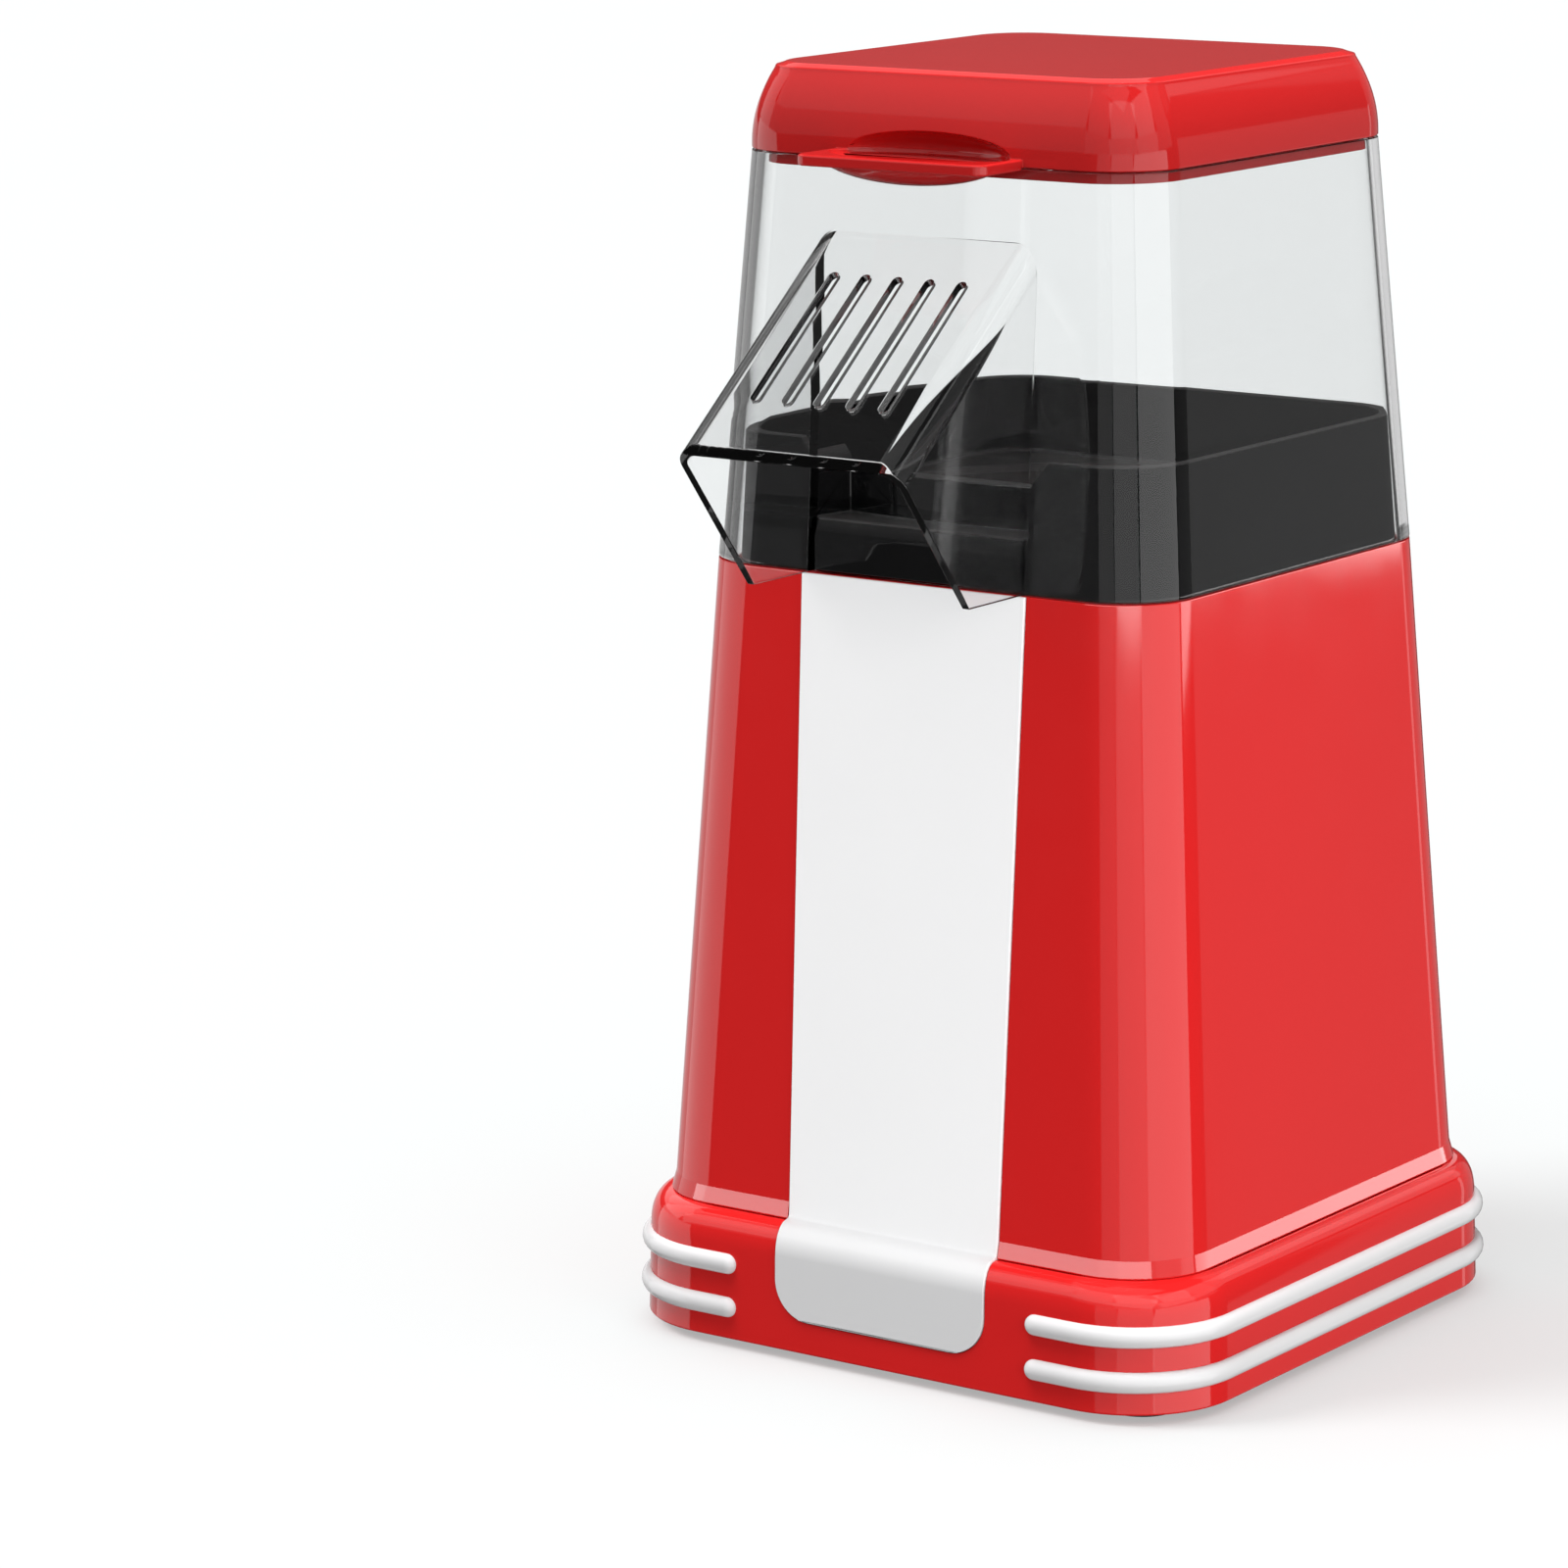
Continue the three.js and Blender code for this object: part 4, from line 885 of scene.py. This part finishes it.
def thumb_ellipsoid(name, a, b, c, y):
    """An ellipsoid about a point in front of the lid, at the finger plate's top."""
    rings = []
    steps = 32
    for i in range(1, steps):
        angle = math.radians(-90 + 180 * i / steps)
        ring = []
        for j in range(64):
            turn = 2 * math.pi * j / 64
            x = a * math.cos(angle) * math.cos(turn)
            out = b * math.cos(angle) * math.sin(turn)
            ring.append((x, AXIS_Y + y + out, PLATE_TOP_Z + GAP + c * math.sin(angle)))
        rings.append(ring)
    return piece(name, *skin_over(rings, False))


def make_lid():
    outer = lid_profile()
    half, z = outer[-1]
    rim = 0.55 * MM
    outer += arc(half - rim - 0.15 * MM, z + 0.35 * MM, rim, 10, 80, 5)
    outer += [(half - 1.6 * MM, TOP_Z - 0.35 * MM), (half - 2.2 * MM, TOP_Z - 0.05 * MM)]
    outer.append((half - 2.8 * MM, TOP_Z))
    lid = lid_loft("lid_shell", outer)
    skirt_half = NECK_HALF - CLEAR_WALL - 0.5 * MM
    skirt_z = NECK_LOW_Z - 2.65 * MM
    skirt = loft("skirt", [(skirt_half, skirt_z), (skirt_half - 0.3 * MM, NECK_HIGH_Z + 4 * MM)])
    hollow = loft(
        "hollow",
        [
            (skirt_half - 2 * MM, skirt_z - MM),
            (skirt_half - 2 * MM, TOP_Z - 16 * MM),
            (skirt_half - 3.2 * MM, TOP_Z - 10 * MM),
            (skirt_half - 6.4 * MM, TOP_Z - 4 * MM),
            (skirt_half - 8 * MM, LID_SHOULDER_Z - MM),
        ],
    )
    fuse(lid, skirt)
    carve(lid, hollow)
    back_y = (2.5 * MM - NECK_HALF, -48 * MM)
    backing = box("backing", (-27 * MM, 27 * MM), back_y, (NECK_HIGH_Z, TOP_Z - 11 * MM))
    fuse(lid, backing, make_finger_plate())
    # The dish stays above the neck, where the plate has the clear cover's wall under it.
    dish = thumb_ellipsoid("dish", 23.8 * MM, 10.6 * MM, 5.1 * MM, -60.8 * MM)
    over_wall = (-half_at(PLATE_FOOT_Z) - 0.8 * MM, 0)
    carve(dish, box("step", (-40 * MM, 40 * MM), over_wall, (UNDER_LID_Z, NECK_HIGH_Z + 0.8 * MM)))
    carve(lid, dish)
    return soften(lid, 0.2 * MM, 2, 45)


def make_finger_plate():
    half, depth, middle, radius = 25.6 * MM, 11 * MM, -62.5 * MM, 3 * MM
    edge = 0.6 * MM
    rings = []
    section = arc(0, PLATE_LOW_Z + edge, edge, -90, 0, 3) + arc(0, PLATE_TOP_Z - edge, edge, 0, 90, 3)
    for out, z in section:
        inset = edge - out
        outline = rounded_outline(half - inset, depth - inset, radius - inset)
        rings.append([(a, AXIS_Y + middle + b, z) for a, b in outline])
    plate = piece("plate", *skin_over(rings, False))
    shell = thumb_ellipsoid("shell", 25 * MM, 9.3 * MM, 6.8 * MM, -64 * MM)
    above_z = (PLATE_TOP_Z - GAP, TOP_Z + 20 * MM)
    carve(shell, box("above", (-40 * MM, 40 * MM), (-90 * MM, -40 * MM), above_z))
    fuse(plate, shell)
    face = half_at(PLATE_FOOT_Z) - 0.2 * MM
    carve(plate, box("room", (-70 * MM, 70 * MM), (-face, 70 * MM), (UNDER_LID_Z, NECK_HIGH_Z)))
    return plate


# ---------- popping chamber ----------
def make_chamber():
    low, rim, r = CHAMBER_LOW.z, CHAMBER_HIGH.z, BORE_RADIUS
    wall = 1.2 * MM
    outer = [
        (0, low + 6 * MM),
        (18 * MM, low + 4.5 * MM),
        (r - 10 * MM, low + 0.4 * MM),
        (r - 8 * MM, low),
        (r - 4.5 * MM, low + 0.5 * MM),
        (r - 1.6 * MM, low + 2.6 * MM),
        (r, low + 6 * MM),
        (r, rim - wall - MM),
        (r + MM, rim - wall),
        (CHAMBER_HIGH.x, rim - wall),
        (CHAMBER_HIGH.x, rim),
        (r, rim),
        (r - wall, rim - 1.2 * MM),
        (r - wall, low + 7 * MM),
        (r - 2.6 * MM, low + 4 * MM),
        (r - 5 * MM, low + 2 * MM),
        (r - 8 * MM, low + 1.6 * MM),
        (18 * MM, low + 6 * MM),
        (0, low + 7.5 * MM),
    ]
    chamber = turned("chamber_shell", outer, sides=96, closed=True)
    louvres = 12
    for i in range(louvres):
        outline = oblong(pair(-0.8, 0.8), pair(-4.5, 4.5))
        slot = prism("louvre", outline, lambda a, b: (0, a, b), -3 * MM, 3 * MM, (1, 0, 0))
        turn = Matrix.Rotation(2 * math.pi * i / louvres, 4, "Z")
        tilt = Matrix.Rotation(0.6, 4, "X")
        middle = Matrix.Translation((r, 0, low + 16 * MM))
        slot.data.transform(Matrix.Translation((0, AXIS_Y, 0)) @ turn @ middle @ tilt)
        carve(chamber, slot)
    return chamber


# ---------- feet, gland and switch ----------
def make_foot(index):
    low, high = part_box(f"foot_{index}")
    x, y = (low.x + high.x) / 2, (low.y + high.y) / 2
    radius = (high.x - low.x) / 2
    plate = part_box("base_plate")[0].z
    edge = 0.8 * MM
    profile = [(0, 0.25 * MM), (radius - 4 * MM, 0.25 * MM), (radius - 3.6 * MM, 0)]
    profile += arc(radius - edge, edge, edge, -90, 0, 5)
    profile += [(radius, plate - GAP), (2.2 * MM, plate - GAP), (2.2 * MM, high.z - 2.6 * MM)]
    profile += [(3 * MM, high.z - 2.5 * MM), (1.4 * MM, high.z), (0, high.z)]
    return turned(f"rubber_foot_{index}", profile, x, y, 64)


def on_plinth_rear(obj):
    """Lays a piece turned about Z on its side, at the gland's place in the plinth's rear wall."""
    low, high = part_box("cord_gland")
    place = Matrix.Translation((0, AXIS_Y + BASE_HALF, (low.z + high.z) / 2))
    obj.data.transform(place @ Matrix.Rotation(math.radians(-90), 4, "X"))
    return obj


def make_gland():
    low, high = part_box("cord_gland")
    flange = (high.x - low.x) / 2
    profile = [
        (3.3 * MM, -7 * MM),
        (5.2 * MM, -7 * MM),
        (5.2 * MM, 0.2 * MM),
        (flange, 0.2 * MM),
        (flange, 0.7 * MM),
        (flange - 0.5 * MM, 1.2 * MM),
        (5.6 * MM, 1.6 * MM),
        (4.9 * MM, 1.95 * MM),
        (3.9 * MM, 1.95 * MM),
        (3.3 * MM, 1.6 * MM),
    ]
    return on_plinth_rear(turned("cord_gland_ring", profile, 0, 0, 64, closed=True))


LEAN = math.atan((DECK_HALF - SEAM_HALF) / (SEAM_HIGH_Z - FOOT_Z))
SWITCH_Z = 50 * MM


def on_rear_wall(obj):
    """Moves a piece drawn about the switch's centre (Y outwards) onto the leaning rear wall."""
    turn = Matrix.Rotation(LEAN, 4, "X")
    obj.data.transform(Matrix.Translation((0, AXIS_Y + half_at(SWITCH_Z), SWITCH_Z)) @ turn)
    return obj


def block(name, x, y, z, radius=0.0):
    """A block drawn about the origin, rounded in the X-Z plane."""
    outline = oblong(x, z)
    if radius:
        mid_x, mid_z = (x[1] + x[0]) / 2, (z[1] + z[0]) / 2
        corners = rounded_outline(x[1] - mid_x, z[1] - mid_z, radius, 6)
        outline = [(a + mid_x, b + mid_z) for a, b in corners]
    return prism(name, outline, lambda a, b: (a, 0, b), y[0], y[1], (0, 1, 0))


def make_switch_body():
    body = block("switch_bezel", pair(-7.7, 7.7), pair(0.3, 2), pair(-10.8, 10.8), 1.2 * MM)
    fuse(body, block("frame", pair(-6.4, 6.4), pair(-14, 1), pair(-9.6, 9.6), 0.5 * MM))
    for z in (5, -5):
        fuse(body, block("blade", pair(-2.4, 2.4), pair(-19, -13), pair(z - 0.4, z + 0.4)))
    carve(body, block("cavity", pair(-5.4, 5.4), pair(-9, 3), pair(-8.7, 8.7), 0.3 * MM))
    return soften(on_rear_wall(body), 0.3 * MM, 3, 40)


def make_switch_rocker():
    """A dished rocker, drawn upright and then tilted to its off position."""
    outline = [(-5 * MM, 6.6 * MM), (1.5 * MM, 7.55 * MM), (1.9 * MM, 7.2 * MM)]
    for step in range(4, -5, -1):
        height = 1.5 * step
        outline.append((0.7 * MM + 1.2 * MM * (height / 7.0) ** 2, height * MM))
    outline += [(1.9 * MM, -7.2 * MM), (1.5 * MM, -7.55 * MM), (-5 * MM, -6.6 * MM), (-7 * MM, 0)]
    rings = [[(x, a, b) for a, b in outline] for x in pair(-5, 5)]
    rocker = piece("rocker_key", *skin_over(rings, False))
    pivot = Vector((0, -1.8 * MM, 0))
    tilt = Matrix.Rotation(math.radians(-8), 4, "X")
    rocker.data.transform(Matrix.Translation(pivot) @ tilt @ Matrix.Translation(-pivot))
    return soften(on_rear_wall(rocker), 0.25 * MM, 3, 40)


# ---------- put the shells together ----------
plinth, tower = make_plinth(), make_tower()
POCKET_MARGIN = 0.25 * MM
for shell in (plinth, tower):
    carve(shell, strip_sheet("pocket", POCKET_MARGIN, 6 * MM, -1.5 * MM))
gland_hole = turned("gland_hole", [(5.6 * MM, -10 * MM), (5.6 * MM, 10 * MM)], 0, 0, 48)
carve(plinth, on_plinth_rear(gland_hole))
carve(tower, on_rear_wall(block("switch_hole", pair(-6.8, 6.8), pair(-20, 20), pair(-10, 10))))
place_piece(smooth(plinth), "red_plastic", "root", "base_plinth")
place_piece(smooth(tower, 7.5), "red_plastic", "root", "tower_housing")

strip = soften(strip_sheet("white_strip", 0, STRIP_PROUD, -1.2 * MM), 0.35 * MM, 3, 50)
place_piece(smooth(strip), "white_plastic", "root", "front_strip")
ribs = []
for level in ("upper", "lower"):
    for side, sign in (("left", -1), ("right", 1)):
        rib = smooth(make_rib(f"rib_{level}_{side}", f"trim_{level}_{side}", sign), 50)
        ribs.append(place_piece(rib, "white_trim", "root", f"trim_{level}_{side}"))
collar = place_piece(smooth(make_collar(), 30), "collar_plastic", "root", "popping_collar")
place_piece(smooth(make_chamber(), 35), "chamber_aluminium", "root", "popping_chamber")
place_piece(smooth(make_cover(), 30), "clear_plastic", "cover", "clear_cover")
lid = place_piece(smooth(make_lid(), 30), "lid_plastic", "lid", "lid")
for i in range(1, 5):
    place_piece(smooth(make_foot(i), 35), "foot_rubber", "root", f"foot_{i}")
place_piece(smooth(make_gland(), 35), "gland_rubber", "root", "cord_gland")
place_piece(smooth(make_switch_body(), 35), "black_plastic", "root", "switch_body")
place_piece(smooth(make_switch_rocker(), 35), "rocker_plastic", "rocker", "switch_rocker")

# ---------- CAD nodes that stay ----------
SLOTS = {row["node"]: row["material_slot"] for row in frame["record"]["subparts"]}
for name, obj in frame["nodes"].items():
    if not obj.hide_render:
        give(obj, SLOTS[name])
        soften(obj, 0.15 * MM, 2, 50)


# ---------- floor, world and lights ----------
def plug(tree, socket, value):
    """Sets a socket to a number, or links another socket to it."""
    if isinstance(value, float):
        socket.default_value = value
    else:
        tree.links.new(value, socket)


def math_node(tree, operation, *operands):
    """The output of a Math node whose operands are numbers or sockets."""
    made = tree.nodes.new("ShaderNodeMath")
    made.operation = operation
    for socket, value in zip(made.inputs, operands):
        plug(tree, socket, value)
    return made.outputs["Value"]


def path_depth(tree, *kinds):
    """How many bounces of these kinds the path has behind it, at most 1."""
    path = tree.nodes.new("ShaderNodeLightPath")
    total = 0.0
    for kind in kinds:
        total = math_node(tree, "ADD", total, path.outputs[kind])
    return math_node(tree, "MINIMUM", total, 1.0)


def ranged_value(tree, source, at_zero, at_one):
    level = tree.nodes.new("ShaderNodeMapRange")
    for name, value in (("Value", source), ("To Min", at_zero), ("To Max", at_one)):
        plug(tree, level.inputs[name], value)
    return level.outputs["Result"]


BACKDROP = 1.0  # what is seen past the object, straight or through clear plastic
SOFT_FILL = 0.17  # what lights the object from all round
MIRRORED = 0.08  # what its gloss mirrors between the softboxes
CLEAR_EDGES = 0.75  # what lights up inside the thickness of the clear cover


def mirrored_light(tree):
    """What a glossy path meets: bright once it has run along the clear cover's wall, else dim."""
    path = tree.nodes.new("ShaderNodeLightPath")
    through = math_node(tree, "COMPARE", path.outputs["Transmission Depth"], 2.0, 0.5)
    along = math_node(tree, "GREATER_THAN", path.outputs["Glossy Depth"], 1.5)
    both = math_node(tree, "MULTIPLY", through, along)
    return ranged_value(tree, both, MIRRORED, CLEAR_EDGES)


def make_world():
    world = bpy.data.worlds.new("studio")
    bpy.context.scene.world = world
    world.use_nodes = True
    world.cycles.sampling_method = "NONE"
    tree = world.node_tree
    background = tree.nodes["Background"]
    background.inputs["Color"].default_value = (1, 1, 1, 1)
    mirrored = path_depth(tree, "Glossy Depth")
    bounced = path_depth(tree, "Glossy Depth", "Diffuse Depth")
    light = ranged_value(tree, mirrored, SOFT_FILL, mirrored_light(tree))
    tree.links.new(ranged_value(tree, bounced, BACKDROP, light), background.inputs["Strength"])


FLOOR_GLOW = 0.72  # how bright the floor is to the surfaces that it lights
FLOOR_LIFT = 0.4  # keeps the floor's shadows pale


def make_floor():
    """A pale floor that reads white; mirrors see through it to the softboxes' lower ends."""
    reach = 12.0
    corners = [(-reach, -reach, 0), (reach, -reach, 0), (reach, reach, 0), (-reach, reach, 0)]
    floor = piece("floor", corners, [(0, 1, 2, 3)])
    made = Finish("pale_floor", (0.346, 0.362, 0.362, 1), 0.9)
    made.shader.inputs["Specular IOR Level"].default_value = 0.0
    made.mottle(made.noise(3, 2), 0.004)
    made.shader.inputs["Emission Color"].default_value = (1, 1, 1, 1)
    made.shader.inputs["Emission Strength"].default_value = FLOOR_LIFT
    glow = made.node("ShaderNodeEmission")
    glow.inputs["Strength"].default_value = FLOOR_GLOW
    surface = made.shader.outputs["BSDF"]
    others = (("Diffuse Depth", glow), ("Glossy Depth", made.node("ShaderNodeBsdfTransparent")))
    for kind, shader in others:
        mix = made.node("ShaderNodeMixShader")
        made.link(path_depth(made.tree, kind), mix.inputs["Fac"])
        made.link(surface, mix.inputs[1])
        made.link(shader.outputs[0], mix.inputs[2])
        surface = mix.outputs["Shader"]
    made.link(surface, made.tree.nodes["Material Output"].inputs["Surface"])
    floor.data.materials.append(made.material)
    floor.visible_glossy = False
    floor.visible_shadow = False
    return floor


def hang_lamp(name, data, place, azimuth, elevation, in_mirrors):
    """Hangs a lamp that faces the machine; it either shows in the gloss or lights the surfaces."""
    lamp = bpy.data.objects.new(name, data)
    turn = Matrix(turn_frame(azimuth, elevation)).transposed().to_4x4()
    lamp.matrix_world = Matrix.Translation(place) @ turn
    lamp.visible_camera = False
    lamp.visible_transmission = False
    lamp.visible_glossy = in_mirrors
    lamp.visible_diffuse = not in_mirrors
    bpy.context.scene.collection.objects.link(lamp)
    return lamp


def softbox(name, azimuth, elevation, width, height, distance, radiance, in_mirrors):
    data = bpy.data.lights.new(name, "AREA")
    data.shape = "RECTANGLE"
    data.size, data.size_y = width, height
    data.energy = radiance * math.pi * width * height
    place = Vector((0, AXIS_Y, TOP_Z / 2)) + distance * turn_frame(azimuth, elevation)[2]
    return hang_lamp(name, data, place, azimuth, elevation, in_mirrors)


def mirrored_panel(name, azimuth, elevation, radiance):
    """A far softbox that fills a range of azimuths and elevations in the gloss."""
    distance = 4.0
    spread = math.radians(azimuth[1] - azimuth[0]) / 2
    tall = math.radians(elevation[1] - elevation[0]) / 2
    middle_azimuth, middle_elevation = sum(azimuth) / 2, sum(elevation) / 2
    width = 2 * distance * math.tan(spread) * math.cos(math.radians(middle_elevation))
    height = 2 * distance * math.tan(tall)
    return softbox(name, middle_azimuth, middle_elevation, width, height, distance, radiance, True)


def distant_lamp(name, azimuth, elevation, strength, spread):
    data = bpy.data.lights.new(name, "SUN")
    data.energy = strength * math.pi
    data.angle = math.radians(spread)
    return hang_lamp(name, data, Vector((0, 0, 1)), azimuth, elevation, False)


def reach_only(lamp, objects):
    """Limits a lamp to these objects."""
    group = bpy.data.collections.new(f"{lamp.name}_reach")
    for obj in objects:
        group.objects.link(obj)
    lamp.light_linking.receiver_collection = group


LOW, MIDDLE, UPPER = (-30, 8), (8, 22), (22, 50)
PANELS = [
    # What the gloss mirrors: azimuths, elevations, radiance. Azimuth 0 is in front of the spout,
    # 90 to its right. The radiances were fitted to the photo's colours, then merged and rounded.
    # The walls mirror the low panels, and rounded edges and slopes the others.
    # No low panel stands where the front face looks.
    ((-155, -98), (-30, 4), 0.6),
    ((-98, -41.5), LOW, 1.3),
    ((-5, 18), LOW, 0.5),
    ((18, 54), LOW, 1.05),
    ((54, 117), LOW, 1.8),
    # the right face and its far corner look at the next three
    ((145, 151), LOW, 0.25),
    ((151, 157), LOW, 1.1),
    ((157, 190), LOW, 0.25),
    ((-98, -62), MIDDLE, 0.9),
    ((-62, -30), MIDDLE, 0.25),
    ((-30, 14), MIDDLE, 0.4),
    ((14, 62), MIDDLE, 0.7),
    ((62, 100), MIDDLE, 0.95),
    ((100, 130), MIDDLE, 0.35),
    ((153, 190), MIDDLE, 0.2),
    ((-155, -98), UPPER, 0.45),
    ((-98, -62), UPPER, 0.9),
    ((-62, -30), UPPER, 0.55),
    ((-30, 14), UPPER, 0.5),
    ((14, 62), UPPER, 1.05),
    ((62, 100), UPPER, 1.25),
    ((100, 130), UPPER, 0.35),
    ((130, 145), UPPER, 0.15),
    ((145, 190), UPPER, 0.5),
    ((-60, 60), (50, 90), 0.65),
]

make_world()
floor = make_floor()
for index, settings in enumerate(PANELS):
    mirrored_panel(f"panel_{index}", *settings)

PIECE_PANELS = [
    # the one piece that mirrors it, azimuths, elevations, radiance
    (tower, (-62, 20), (-1, 32), 5.0),
    (tower, (20, 57), (-1, 32), 5.0),
    (tower, (118, 168), (-5.5, 32), 4.5),
    (plinth, (-60, 57), (14, 50), 0.95),
    (plinth, (57, 168), (14, 50), 0.6),
    (plinth, (-165, -60), (14, 50), 0.9),
    (collar, (-40, 60), (45, 75), 8.0),
]
for index, (lit, *settings) in enumerate(PIECE_PANELS):
    reach_only(mirrored_panel(f"panel_piece_{index}", *settings), [lit])

LOW_PIECES = [plinth, *ribs]
OTHERS = LOW_PIECES + [floor]
HIGH_PIECES = [o for o in bpy.context.scene.objects if o.type == "MESH" and o not in OTHERS]
LAMPS = [
    # the pieces that it lights, azimuth, elevation, strength, spread
    (HIGH_PIECES, -95, 15, 0.3, 40),
    (HIGH_PIECES, -60, 40, 0.3, 40),
    (HIGH_PIECES, -20, 30, 0.1, 40),
    (HIGH_PIECES, 30, 15, 0.15, 40),
    (HIGH_PIECES, 60, 10, 0.3, 40),
    (HIGH_PIECES, 95, 20, 0.4, 40),
    (HIGH_PIECES, 140, 25, 0.15, 40),
    (LOW_PIECES, -95, 15, 0.2, 40),
    (LOW_PIECES, 50, 15, 0.25, 40),
    (LOW_PIECES, 95, 25, 0.5, 40),
    (LOW_PIECES, -45, 78, 1.6, 40),
    ([lid], -147, 78, 2.7, 20),
    ([floor], -50, 42, 0.7, 24),
    ([floor], -30, 80, 1.1, 110),
]
for index, (lit, *settings) in enumerate(LAMPS):
    reach_only(distant_lamp(f"lamp_{index}", *settings), lit)
softbox("key_right", 60, 5, 0.3, 0.4, 0.5, 1.6, False)

scene = bpy.context.scene
scene.view_settings.view_transform = "Standard"
scene.cycles.use_denoising = True
scene.cycles.max_bounces = 24
scene.cycles.transmission_bounces = 20
scene.cycles.glossy_bounces = 8
scene.cycles.transparent_max_bounces = 24
